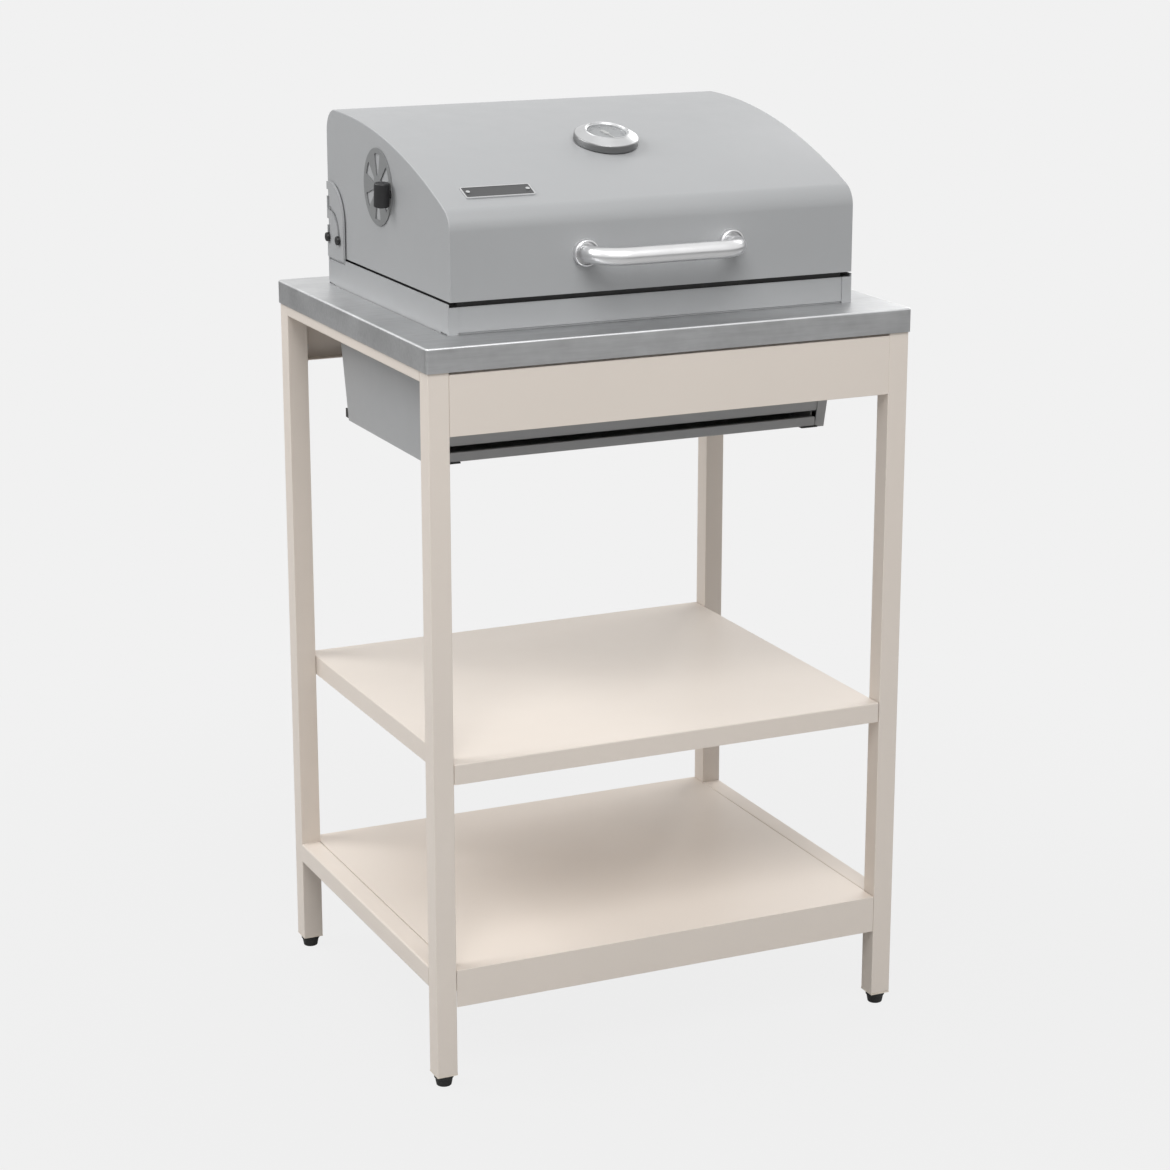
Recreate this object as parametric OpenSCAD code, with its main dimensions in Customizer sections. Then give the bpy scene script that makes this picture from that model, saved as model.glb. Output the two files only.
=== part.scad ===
// Charcoal grill with a box hood, dropped into the steel worktop of a four-leg stand.
// Millimetres. The origin is on the floor under the middle of the worktop.
// +Z is up and -Y is the front, where the hood's handle is.

/* [Stand] */
// Width of the stand over the legs
stand_w = 600; // [570:1:760]
// Depth of the stand over the legs
stand_d = 488; // [470:1:600]
// Height of the worktop's surface above the floor
worktop_z = 870; // [760:1:1050]
// Side of the square tube of the legs and rails
tube = 25; // [20:1:34]
// Wall of the square tube
tube_wall = 1.5; // [1:0.1:2.5]
// Height of the tubes under the worktop's two short sides
top_rail_h = 40; // [30:1:60]
// Height of the front and rear aprons
apron_h = 69; // [50:1:90]
// Gap between the worktop's lip and the aprons
apron_gap = 3; // [1:0.5:8]
// Sheet of the shelves and aprons
stand_sheet = 1.2; // [1:0.1:2]
// Height of the middle shelf's surface above the floor
mid_shelf_z = 393; // [300:1:480]
// Folded edge of the middle shelf
mid_shelf_edge = 24; // [18:1:40]
// Height of the lower shelf's surface above the floor
low_shelf_z = 144; // [110:1:200]
// Folded front and rear edge of the lower shelf
low_shelf_edge = 45; // [30:1:60]
// Height of a foot below its leg
foot_h = 14; // [10:1:25]
// Diameter of a foot where it meets the leg
foot_d = 23; // [16:1:24]

/* [Worktop] */
// Sheet of the worktop
worktop_sheet = 1.5; // [1:0.1:2]
// Height of the worktop's folded lip
lip_h = 28; // [20:1:38]
// Radius of the lip's corners
lip_r = 3; // [2:0.5:8]

/* [Firebox] */
// Width of the firebox and its collar
grill_w = 508; // [440:1:520]
// Depth of the collar above the worktop
grill_d = 384; // [350:1:410]
// Middle of the grill, right of the worktop's middle
grill_x = 2; // [-8:1:8]
// Middle of the grill, behind the worktop's middle
grill_y = 7; // [0:1:12]
// Sheet of the firebox and hood
sheet = 1.5; // [1:0.1:2]
// Height of the collar's front above the worktop
collar_h = 30.5; // [26:0.5:40]
// Extra height of the collar's sides over its front
side_rise = 4; // [3:0.5:6]
// Width of the flanges that the side panels fold round the corners
flange_w = 12.5; // [10:0.5:18]
// Shoulder by which the collar rests on the worktop, front and rear
shoulder = 21; // [18:1:26]
// Depth of the firebox below the worktop
firebox_h = 159.5; // [130:0.5:180]
// Inward run of the sloping front and rear walls
wall_run = 37.5; // [20:0.5:50]
// Depth of the charcoal grate below the worktop
charcoal_z = 62; // [45:1:80]

/* [Ash drawer] */
// Height of the drawer's front strip
drawer_front_h = 11; // [8:0.5:16]
// Open slot above the drawer's front strip
drawer_slot = 7; // [5:0.5:12]

/* [Hood] */
// Height of the hood's top above the worktop
hood_top = 211; // [180:0.1:250]
// Depth of the hood
hood_d = 390; // [356:1:416]
// Gap between the collar's front and the hood
hood_gap = 6.5; // [5:0.5:12]
// Radius of the hood's arched top
arch_r = 846; // [700:1:1200]
// Crest of the arch behind the hood's middle
crest_y = 164; // [140:1:167]
// Radius of the rear bend
rear_bend_r = 28; // [15:1:28]
// Radius of the front bend
front_bend_r = 27; // [9:0.5:32]
// Height of the hinge axis above the worktop
pivot_z = 57.5; // [52:0.5:70]
// Hinge axis ahead of the hood's rear face
pivot_inset = 12; // [9:0.5:16]
// Distance between the pivot bolt and the guide bolt
guide_r = 35; // [28:1:42]
// Diameter of the hinge bolts
hinge_bolt_d = 6; // [5:0.5:8]
// Sheet of the hinge plates
plate_t = 2.5; // [2:0.1:3]

/* [Handle] */
// Distance between the handle's two ends
handle_w = 182; // [140:1:260]
// Distance of the grip's axis in front of the hood
handle_reach = 43; // [36:1:48]
// Diameter of the handle's tube
handle_d = 20; // [16:0.5:22]
// Bend radius of the handle's axis
handle_bend = 34; // [18:1:36]
// Middle of the handle, right of the hood's middle
handle_x = 2; // [-20:1:20]
// Height of the handle above the worktop
handle_z = 81.7; // [65:0.1:100]

/* [Fittings] */
// Diameter of the thermometer's bezel
gauge_d = 75; // [60:1:90]
// Height of the thermometer's bezel
gauge_h = 15.5; // [11:0.5:20]
// Middle of the thermometer, right of the hood's middle
gauge_x = 3; // [-20:1:20]
// Thermometer's middle, ahead of the hood's middle
gauge_y = 50; // [30:1:70]
// Length of the thermometer's probe inside the hood
probe_len = 60; // [40:1:90]
// Diameter of the vent damper
vent_d = 89.5; // [70:0.5:96]
// Vent damper's middle, behind the hood's middle
vent_y = 21; // [0:0.5:30]
// Vent damper's middle above the worktop
vent_z = 137.5; // [120:0.5:142]
// Diameter of the damper's grip
knob_d = 18; // [14:0.5:24]
// Length of the damper's grip
knob_len = 28; // [20:1:40]
// Width of the blank plate on the hood
badge_w = 84; // [60:1:110]
// Height of the blank plate on the hood
badge_h = 24; // [15:1:30]

/* [Hidden] */
$fn = 96;

beige = "#d9cfc4";
hood_grey = "#a9abac";
black = "#1c1c1c";
steel = "#b9bbbd";
bright = "#dcdee0";

eps = 1;             // how far a cut runs past the face that it opens
fit = 0.3;           // clearance of a screw or pin in its hole, and of parts that slide
seat = 0.4;          // clearance of a panel fitted between two others

// Stand
leg_x = stand_w / 2 - tube / 2;
leg_y = stand_d / 2 - tube / 2;
inner_x = stand_w / 2 - tube;
inner_y = stand_d / 2 - tube;
plug_flange = 2;
plug_depth = 16;
leg_z0 = foot_h + plug_flange;
frame_top = worktop_z - worktop_sheet;
foot_stud_d = 8;
apron_z1 = worktop_z - lip_h - apron_gap;
apron_z0 = apron_z1 - apron_h;
apron_fold = 14;
apron_tab = 22;
screw_d = 5;
screw_head_d = 9;
screw_head_h = 3;
apron_screw_z = [apron_z0 + apron_h / 4, apron_z1 - apron_h / 4];
shelf_screw_z = [mid_shelf_z - mid_shelf_edge / 2, low_shelf_z - tube / 2];
screw_reach = 5;     // how far a screw goes past the leg's wall

// Worktop
lip_play = 0.5;
lip_x = stand_w / 2 + lip_play + worktop_sheet;
lip_y = stand_d / 2 + lip_play + worktop_sheet;
lip_inner_r = min(lip_r - worktop_sheet, 3 * lip_play);  // clears the legs' square corners
cutout_play = 1.5;

// Firebox, in its own frame: X and Y from its middle, Z from the worktop's surface
half_w = grill_w / 2;
half_d = grill_d / 2;
throat = half_d - shoulder;
side_h = collar_h + side_rise;
slope = wall_run / firebox_h;
function wall_y(z) = throat + slope * min(z, 0);
flange_drop = 2;     // start of the lower flanges, below the worktop's surface
gap_under = 1.5;     // dark gap under the collar's panels
rim_x = half_w - 12;
rim_y = half_d - 2 * sheet - 1.5;
rim_top = collar_h + hood_gap - 0.5;
ledge_z = 16;
ledge_w = 12;
bar = 5;             // square bars of the grates
cooking_pitch = 16;
charcoal_pitch = 20;
charcoal_ledge = 14;

// Ash drawer
drawer_x = half_w - flange_w - 3.5;
runner_w = half_w - 220;
runner_h = 11;
runner_z = -firebox_h + 1.5;
above_runner = runner_z + runner_h + seat;
drawer_z = runner_z + sheet + fit;
drawer_front_z = drawer_z + drawer_front_h;
slot_z = drawer_front_z + drawer_slot;
drawer_side_z = slot_z - 2;
drawer_y0 = -(wall_y(drawer_z) + 6);
drawer_y1 = wall_y(drawer_z) - 8;

// Hood
hood_half_w = half_w - 1.8;
hood_half_d = hood_d / 2;
hood_z0 = collar_h + hood_gap;
rear_lift = 9;       // the rear edge is higher, so that it clears the collar as the hood turns
side_sheet = 1.2;
arch_z = hood_top - arch_r;
pivot_y = hood_half_d - pivot_inset;
guide_y = pivot_y - guide_r;
bolt_head_d = hinge_bolt_d + 5;
bolt_head_h = 4;
nut_d = 10;
nut_h = 5;
washer_gap = 0.3;
plate_gap = 1.4;     // between the hood's side and its hinge plate
plate_x0 = hood_half_w + plate_gap;
plate_x1 = plate_x0 + plate_t;
plate_leg_x = half_w - sheet - 0.1;
plate_y1 = half_d - 2 * sheet - 0.5;
plate_y0 = guide_y - 14;
plate_top = pivot_z + 67;
plate_corner_r = plate_y1 - plate_y0 - 8;
notch_z = side_h - 5;
slot_w = hinge_bolt_d + 2 * fit + 0.2;
lift = 18;           // the hood lifts this far, fully open, to leave its hinge plates
exit_h = 8;
nut_stud_d = 5;
plate_nut_y = [plate_y0 + 16, plate_y1 - 12];
plate_nut_z = 18;

function arch_height(y) = arch_z + sqrt(arch_r * arch_r - (y - crest_y) * (y - crest_y));
function arch_tilt(y) = asin((crest_y - y) / arch_r);

// Handle
handle_leg = handle_reach - handle_bend;
rosette_d = 31;
rosette_h = 6;
handle_screw_d = 6;
handle_screw_depth = 12;

// Thermometer, in its own frame: Z along the dial's normal, from the hood's outer face
gauge_cone_d = 0.67 * gauge_d;
gauge_bore_d = gauge_cone_d - 4;
rim_band = 0.6 * gauge_h;
dial_z = gauge_h - 6;
dial_t = 1;
pointer_z = dial_z + dial_t + 0.8;
pointer_t = 0.6;
pointer_len = gauge_bore_d / 2 - 5;
glass_z = pointer_z + pointer_t + 1.2;
glass_t = 1.2;
spindle_d = 1.6;
probe_d = 6;
probe_hole_d = 8.4;
thread_d = 8;
needle_rest = 12;    // cold needle, degrees right of straight ahead

// Vent
vent_gap = 0.3;
vent_t = 1.2;
vent_slots = 6;
vent_slot_w = 26;    // degrees
vent_turn = 30;      // degrees from shut to open
vent_r0 = 13;
vent_r1 = vent_d / 2 - 6.5;
vent_pin_d = 6;
vent_x0 = hood_half_w + vent_gap;
vent_x1 = vent_x0 + vent_t;
knob_r = vent_d / 2 - 4;
knob_turn = 5;       // degrees from straight ahead down to the grip
knob_pin_d = 4;
knob_pin_depth = 10;
knob_x = vent_x1 + 1.2 + knob_d / 2;

// Blank plate
badge_x = -177;
badge_y = -153;
badge_t = 1.5;
badge_gap = 0.2;

/* ---- shared shapes ---- */

module at_grill() { translate([grill_x, grill_y, worktop_z]) children(); }

module both_sides() {
    children();
    mirror([1, 0, 0]) children();
}

module four_corners(x, y) {
    for (sx = [-1, 1], sy = [-1, 1]) translate([sx * x, sy * y, 0]) children();
}

// Outline in Y and Z, extruded from X = x0 to x1
module side_plate(x0, x1) {
    translate([x0, 0, 0]) rotate([90, 0, 90]) linear_extrude(x1 - x0) children();
}

module box(lo, hi) { translate(lo) cube(hi - lo); }

module rounded_rect(w, d, r) {
    square([w - 2 * r, d], center = true);
    square([w, d - 2 * r], center = true);
    for (sx = [-1, 1], sy = [-1, 1])
        translate([sx * (w / 2 - r), sy * (d / 2 - r)]) circle(r);
}

// Square tube along Z, standing on Z = 0
module square_tube(w, d, len) {
    difference() {
        translate([-w / 2, -d / 2, 0]) cube([w, d, len]);
        translate([-w / 2 + tube_wall, -d / 2 + tube_wall, -eps])
            cube([w - 2 * tube_wall, d - 2 * tube_wall, len + 2 * eps]);
    }
}

// Screw along +X with the seat of its head at X = 0
module panel_screw(len) {
    rotate([0, 90, 0]) {
        cylinder(d = screw_d, h = len);
        translate([0, 0, -screw_head_h]) cylinder(d = screw_head_d, h = screw_head_h);
    }
}

module hex_prism(across, h) { cylinder(d = across / cos(30), h = h, $fn = 6); }

/* ---- stand ---- */

module leg(sx, sy) {
    color(beige)
    difference() {
        translate([sx * leg_x, sy * leg_y, leg_z0]) square_tube(tube, tube, frame_top - leg_z0);
        for (z = concat(apron_screw_z, shelf_screw_z))
            translate([sx * (inner_x - eps), sy * leg_y, z]) rotate([0, sx * 90, 0])
                cylinder(d = screw_d + 2 * fit, h = tube_wall + 2 * eps);
    }
}

module leg_plugs() {
    inside = tube - 2 * tube_wall - 2 * 0.2;
    color(beige)
    four_corners(leg_x, leg_y)
        difference() {
            union() {
                translate([-tube / 2, -tube / 2, foot_h]) cube([tube, tube, plug_flange]);
                translate([-inside / 2, -inside / 2, foot_h]) cube([inside, inside, plug_depth]);
            }
            translate([0, 0, foot_h - eps])
                cylinder(d = foot_stud_d + 0.2, h = plug_depth + 2 * eps);
        }
}

module feet() {
    color(black)
    four_corners(leg_x, leg_y) {
        cylinder(d1 = foot_d - 5, d2 = foot_d, h = foot_h);
        translate([0, 0, foot_h - eps]) cylinder(d = foot_stud_d, h = plug_depth);
    }
}

module top_rail(sx) {
    color(beige)
    translate([sx * leg_x, inner_y, frame_top - top_rail_h / 2])
        rotate([90, 0, 0]) square_tube(tube, top_rail_h, 2 * inner_y);
}

module lower_rail(sx) {
    color(beige)
    translate([sx * leg_x, inner_y, low_shelf_z - tube / 2])
        rotate([90, 0, 0]) square_tube(tube, tube, 2 * inner_y);
}

// Folded channel between two legs, with a screwed tab at each end
module apron(sy) {
    face = stand_d / 2;
    color(beige)
    difference() {
        scale([1, sy, 1]) {
            box([-inner_x, face - stand_sheet, apron_z0], [inner_x, face, apron_z1]);
            for (z = [apron_z0, apron_z1 - stand_sheet])
                box([-inner_x, face - apron_fold, z], [inner_x, face, z + stand_sheet]);
            both_sides()
                box([inner_x - stand_sheet, face - apron_tab, apron_z0],
                    [inner_x, face, apron_z1]);
        }
        for (z = apron_screw_z)
            translate([-inner_x - eps, sy * leg_y, z]) rotate([0, 90, 0])
                cylinder(d = screw_d + 2 * fit, h = 2 * (inner_x + eps));
    }
}

module apron_screws() {
    color(steel)
    both_sides()
        for (sy = [-1, 1], z = apron_screw_z)
            translate([inner_x - stand_sheet, sy * leg_y, z])
                panel_screw(stand_sheet + tube_wall + screw_reach);
}

// Tray turned upside down: a top with four folded edges, the side ones of their own height
module shelf(z, edge, side_edge) {
    x = inner_x - seat;
    y = stand_d / 2;
    color(beige)
    difference() {
        union() {
            box([-x, -y, z - stand_sheet], [x, y, z]);
            for (sy = [-1, 1]) scale([1, sy, 1])
                box([-x, y - stand_sheet, z - edge], [x, y, z]);
            both_sides()
                box([x - stand_sheet, -y, z - side_edge], [x, y, z]);
        }
        for (hole_z = shelf_screw_z, sy = [-1, 1])
            translate([-x - eps, sy * leg_y, hole_z]) rotate([0, 90, 0])
                cylinder(d = screw_d + 2 * fit, h = 2 * (x + eps));
    }
}

module middle_shelf() { shelf(mid_shelf_z, mid_shelf_edge, mid_shelf_edge); }

module lower_shelf() { shelf(low_shelf_z, low_shelf_edge, tube); }

module shelf_screws() {
    color(steel)
    both_sides()
        for (sy = [-1, 1], z = shelf_screw_z)
            translate([inner_x - seat - stand_sheet, sy * leg_y, z])
                panel_screw(stand_sheet + seat + tube_wall + screw_reach);
}

module worktop() {
    color(steel)
    difference() {
        translate([0, 0, worktop_z - lip_h])
            linear_extrude(lip_h) rounded_rect(2 * lip_x, 2 * lip_y, lip_r);
        translate([0, 0, worktop_z - lip_h - eps])
            linear_extrude(lip_h - worktop_sheet + eps)
                rounded_rect(2 * (lip_x - worktop_sheet), 2 * (lip_y - worktop_sheet),
                    lip_inner_r);
        at_grill()
            box([-half_w - cutout_play, -throat - cutout_play, -worktop_sheet - eps],
                [half_w + cutout_play, throat + cutout_play, eps]);
    }
}

/* ---- firebox ---- */

module firebox_side_outline() {
    top = [[half_d, gap_under], [half_d, side_h], [plate_y1, side_h], [plate_y1, notch_z],
        [plate_y0, notch_z], [plate_y0, side_h], [-half_d, side_h], [-half_d, gap_under]];
    shoulders = [[-throat, gap_under], [-throat, 0]];
    foot = [[-wall_y(-firebox_h), -firebox_h], [wall_y(-firebox_h), -firebox_h]];
    polygon(concat(top, shoulders, foot, [[throat, 0], [throat, gap_under]]));
}

module sloping_flange(z1) {
    z0 = -flange_drop;
    polygon([[wall_y(z0), z0], [wall_y(z1), z1], [wall_y(z1) - sheet, z1],
        [wall_y(z0) - sheet, z0]]);
}

// Right side panel: one sheet from the collar down to the firebox's bottom edge
module firebox_side() {
    color(hood_grey) {
        side_plate(half_w - sheet, half_w) firebox_side_outline();
        for (sy = [-1, 1]) scale([1, sy, 1])
            box([half_w - flange_w, half_d - sheet, 0], [half_w, half_d, collar_h]);
        scale([1, -1, 1]) side_plate(half_w - flange_w, half_w) sloping_flange(-firebox_h);
        side_plate(half_w - flange_w, half_w) sloping_flange(above_runner);
    }
}

// Front wall: a strip that lies on the worktop, then the slope down to z_end
module firebox_wall(z_end) {
    tip = half_d - 3;
    x = half_w - sheet;
    color(hood_grey)
    side_plate(-x, x)
        polygon([[-tip, 0], [-wall_y(0) + sheet, 0], [-wall_y(z_end) + sheet, z_end],
            [-wall_y(z_end) + 2 * sheet, z_end], [-wall_y(0) + 2 * sheet, sheet],
            [-tip, sheet]]);
}

module firebox_front() { at_grill() firebox_wall(slot_z); }

module firebox_rear() { at_grill() mirror([0, 1, 0]) firebox_wall(above_runner); }

module collar_panel() {
    x = half_w - sheet;
    color(hood_grey)
    box([-x, -half_d + sheet, gap_under + 0.5], [x, -half_d + 2 * sheet, collar_h]);
}

// Black ring inside the collar, with the ledge that carries the cooking grate
module inner_rim() {
    color(black)
    at_grill()
    difference() {
        box([-rim_x, -rim_y, sheet], [rim_x, rim_y, rim_top]);
        box([-rim_x + sheet, -rim_y + sheet, ledge_z + sheet],
            [rim_x - sheet, rim_y - sheet, rim_top + eps]);
        box([-rim_x + ledge_w, -rim_y + ledge_w, sheet - eps],
            [rim_x - ledge_w, rim_y - ledge_w, rim_top]);
        box([-rim_x + sheet, -rim_y + sheet, sheet - eps],
            [rim_x - sheet, rim_y - sheet, ledge_z]);
    }
}

// Welded grid: bars along Y, evenly spaced at about the pitch, on three cross bars
module bar_grid(w, d, pitch) {
    count = round((w - bar) / pitch);
    step = (w - bar) / count;
    for (y = [-d / 2, -bar / 2, d / 2 - bar])
        translate([-w / 2, y, 0]) cube([w, bar, bar]);
    for (i = [0:count])
        translate([-w / 2 + i * step, -d / 2, bar]) cube([bar, d, bar]);
}

module cooking_grate() {
    w = 2 * (rim_x - sheet - 1);
    d = 2 * (rim_y - sheet - 1);
    color(steel)
    at_grill() translate([0, 0, ledge_z + sheet]) bar_grid(w, d, cooking_pitch);
}

module charcoal_grate() {
    w = 2 * (half_w - sheet - 3);
    d = 2 * (wall_y(-charcoal_z) - 2 * sheet - 3);
    color(black)
    at_grill() translate([0, 0, -charcoal_z]) bar_grid(w, d, charcoal_pitch);
}

module charcoal_ledges() {
    x = half_w - sheet;
    y = wall_y(-charcoal_z) - 25;
    z = -charcoal_z;
    color(black)
    at_grill() both_sides() {
        box([x - charcoal_ledge, -y, z - sheet], [x, y, z]);
        box([x - sheet, -y, z - charcoal_ledge], [x, y, z]);
    }
}

// Angle under the drawer's edge, on the side panel's inner face
module drawer_runner() {
    x = half_w - sheet;
    y0 = -wall_y(runner_z) + sheet + seat;
    y1 = wall_y(runner_z) + 14;
    color(black) {
        box([half_w - runner_w, drawer_y0 - 1, runner_z],
            [half_w - flange_w - seat, y1, runner_z + sheet]);
        box([half_w - runner_w, y0, runner_z], [x, y1, runner_z + sheet]);
        box([x - sheet, y0, runner_z], [x, y1, runner_z + runner_h]);
    }
}

/* ---- ash drawer ---- */

module ash_drawer() {
    x = drawer_x;
    z = drawer_z;
    color(hood_grey)
    at_grill() {
        box([-x, drawer_y0, z], [x, drawer_y1, z + sheet]);
        box([-x, drawer_y0, z], [x, drawer_y0 + sheet, drawer_front_z]);
        box([-x, drawer_y1 - sheet, z], [x, drawer_y1, drawer_side_z]);
        box([-x, drawer_y0, drawer_front_z - sheet], [x, drawer_y0 + 5, drawer_front_z]);
        both_sides()
            difference() {
                box([x - sheet, drawer_y0, z], [x, drawer_y1, drawer_side_z]);
                box([x - sheet - eps, drawer_y0 - eps, drawer_front_z],
                    [x + eps, drawer_y0 + 8, drawer_side_z + eps]);
            }
    }
}

/* ---- hinge plates ---- */

// Slot along a straight line between two points of the Y, Z outline
module straight_slot(a, b, w) {
    run = b - a;
    translate(a) rotate(atan2(run.y, run.x)) translate([0, -w / 2]) square([norm(run), w]);
    for (p = [a, b]) translate(p) circle(d = w);
}

// Open slots: the bolts turn in them, and leave through the rear edge when the hood lifts
module hinge_slots() {
    pivot = [pivot_y, pivot_z];
    guide_top = pivot + [0, guide_r];
    translate(pivot)
        intersection() {
            difference() {
                circle(guide_r + slot_w / 2);
                circle(guide_r - slot_w / 2);
            }
            translate([-2 * guide_r, 0]) square(2 * guide_r);
        }
    translate([guide_y, pivot_z]) circle(d = slot_w);
    for (p = [pivot, guide_top]) {
        straight_slot(p, p + [0, lift], slot_w);
        translate(p + [0, lift - exit_h / 2]) square([plate_y1, exit_h]);
    }
}

module hinge_plate_outline() {
    r = plate_corner_r;
    top_z = plate_top - r;
    difference() {
        union() {
            translate([plate_y0, 0]) square([plate_y1 - plate_y0, top_z]);
            intersection() {
                translate([plate_y0 + r, top_z]) circle(r);
                translate([plate_y0, top_z - eps]) square([plate_y1 - plate_y0, r + 2 * eps]);
            }
        }
        hinge_slots();
    }
}

// Section in X and Z: a leg inside the collar, a joggle over its notched edge, the outer ear
module hinge_plate_section() {
    z0 = 8;
    step = plate_x1 - plate_leg_x;
    bend_z = notch_z + 0.5;
    polygon([[plate_leg_x - plate_t, z0], [plate_leg_x, z0], [plate_leg_x, bend_z],
        [plate_x1, bend_z + step], [plate_x1, plate_top + eps], [plate_x0, plate_top + eps],
        [plate_x0, bend_z + step + 1], [plate_leg_x - plate_t, bend_z + 1]]);
}

// Right hinge plate
module hinge_plate() {
    color(hood_grey)
    difference() {
        intersection() {
            translate([0, plate_y1 + eps, 0]) rotate([90, 0, 0])
                linear_extrude(plate_y1 - plate_y0 + 2 * eps) hinge_plate_section();
            side_plate(0, half_w + 20) hinge_plate_outline();
        }
        for (y = plate_nut_y)
            translate([half_w - 10, y, plate_nut_z]) rotate([0, 90, 0])
                cylinder(d = nut_stud_d + 2 * fit, h = 20);
    }
}

// Welded studs with their nuts, which hold the plates' legs inside the collar
module hinge_plate_nuts() {
    x = plate_leg_x - plate_t;
    color(steel)
    at_grill() both_sides()
        for (y = plate_nut_y)
            translate([x, y, plate_nut_z]) rotate([0, 90, 0]) {
                translate([0, 0, -2.5]) cylinder(d = nut_stud_d, h = half_w - sheet - x + 2.5);
                translate([0, 0, -4]) hex_prism(8, 4);
            }
}

/* ---- hood ---- */

// Solid outline of the hood, moved in by the given inset
module hood_outline(inset) {
    y1 = hood_half_d - inset;
    r = arch_r - inset;
    front_c_y = -hood_half_d + front_bend_r;
    front_c_z = arch_z + sqrt(pow(arch_r - front_bend_r, 2) - pow(front_c_y - crest_y, 2));
    rear_c_y = hood_half_d - rear_bend_r;
    rear_c_z = arch_z + sqrt(pow(arch_r - rear_bend_r, 2) - pow(rear_c_y - crest_y, 2));
    out = [front_c_y - crest_y, front_c_z - arch_z] / (arch_r - front_bend_r);
    far = 3 * front_bend_r;
    difference() {
        intersection() {
            translate([-y1, 0]) square([2 * y1, hood_top]);
            translate([crest_y, arch_z]) circle(r, $fn = 720);
        }
        difference() {
            translate([front_c_y, front_c_z])
                polygon([[0, 0], [-far, 0], [-far, far], out * far]);
            translate([front_c_y, front_c_z]) circle(front_bend_r - inset);
        }
        difference() {
            translate([rear_c_y, rear_c_z]) square(2 * rear_bend_r);
            translate([rear_c_y, rear_c_z]) circle(rear_bend_r - inset);
        }
    }
}

// Lower edge of the hood: level, then up to the higher rear edge
module below_hood() {
    y = hood_half_d;
    polygon([[-y - eps, -eps], [-y - eps, hood_z0], [pivot_y, hood_z0],
        [y, hood_z0 + rear_lift], [y + eps, hood_z0 + rear_lift], [y + eps, -eps]]);
}

module on_arch(x, y) {
    translate([x, y, arch_height(y)]) rotate([arch_tilt(y), 0, 0]) children();
}

module hood_shell() {
    color(hood_grey)
    at_grill()
    difference() {
        side_plate(-hood_half_w, hood_half_w)
            difference() {
                hood_outline(0);
                hood_outline(sheet);
                below_hood();
            }
        on_arch(gauge_x, -gauge_y) translate([0, 0, -6]) cylinder(d = probe_hole_d, h = 12);
        for (sx = [-1, 1])
            translate([handle_x + sx * handle_w / 2, -hood_half_d - eps, handle_z]) rotate([-90, 0, 0])
                cylinder(d = handle_screw_d + 2 * fit, h = sheet + 2 * eps);
        for (sx = [-1, 1])
            on_arch(badge_x + sx * (badge_w / 2 - 6), badge_y) translate([0, 0, -6])
                cylinder(d = 3 + 2 * fit, h = 12);
    }
}

module hinge_bolt_holes() {
    for (y = [pivot_y, guide_y])
        translate([hood_half_w - side_sheet - eps, y, pivot_z]) rotate([0, 90, 0])
            cylinder(d = hinge_bolt_d + 0.2, h = side_sheet + 2 * eps);
}

// Right side of the hood, inside the folded shell
module hood_side() {
    color(hood_grey)
    difference() {
        side_plate(hood_half_w - side_sheet, hood_half_w)
            difference() {
                hood_outline(sheet);
                below_hood();
            }
        hinge_bolt_holes();
    }
}

// The wedge slots of the vent, in the Y, Z outline, about the vent's middle
module vent_slots(turn) {
    for (i = [0:vent_slots - 1])
        rotate(360 / vent_slots * i + turn)
            intersection() {
                difference() {
                    circle(vent_r1);
                    circle(vent_r0);
                }
                polygon([[0, 0], vent_d * [cos(vent_slot_w / 2), sin(vent_slot_w / 2)],
                    vent_d * [cos(vent_slot_w / 2), -sin(vent_slot_w / 2)]]);
            }
}

module hood_side_left() {
    at_grill()
    difference() {
        mirror([1, 0, 0]) hood_side();
        color(hood_grey)
        translate([0, vent_y, vent_z]) {
            side_plate(-hood_half_w - eps, -hood_half_w + side_sheet + eps) vent_slots(0);
            rotate([0, -90, 0])
                cylinder(d = vent_pin_d + 0.1, h = hood_half_w + eps);
        }
    }
}

module hood_side_right() { at_grill() hood_side(); }

// Bolt through the hood's right side, its head outside the hinge plate
module hinge_bolt() {
    head = plate_x1 + washer_gap;
    inside = hood_half_w - side_sheet - nut_h - 2;
    rotate([0, 90, 0]) {
        translate([0, 0, inside]) cylinder(d = hinge_bolt_d, h = head - inside + 1);
        translate([0, 0, head]) cylinder(d = bolt_head_d, h = bolt_head_h);
    }
}

module pivot_bolts() {
    color(black)
    at_grill() both_sides() translate([0, pivot_y, pivot_z]) hinge_bolt();
}

module guide_bolts() {
    color(black)
    at_grill() both_sides() translate([0, guide_y, pivot_z]) hinge_bolt();
}

// Nuts inside the hood, and the spacers that keep its sides off the plates
module hinge_nuts() {
    color(steel)
    at_grill() both_sides()
        for (y = [pivot_y, guide_y])
            translate([0, y, pivot_z]) rotate([0, 90, 0]) {
                translate([0, 0, hood_half_w - side_sheet - nut_h])
                    difference() {
                        hex_prism(nut_d, nut_h);
                        translate([0, 0, -eps])
                            cylinder(d = hinge_bolt_d + 0.1, h = nut_h + 2 * eps);
                    }
                translate([0, 0, hood_half_w])
                    difference() {
                        cylinder(d = hinge_bolt_d + 4, h = plate_gap - fit);
                        translate([0, 0, -eps])
                            cylinder(d = hinge_bolt_d + 0.1, h = plate_gap + 2 * eps);
                    }
            }
}

/* ---- handle ---- */

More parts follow.
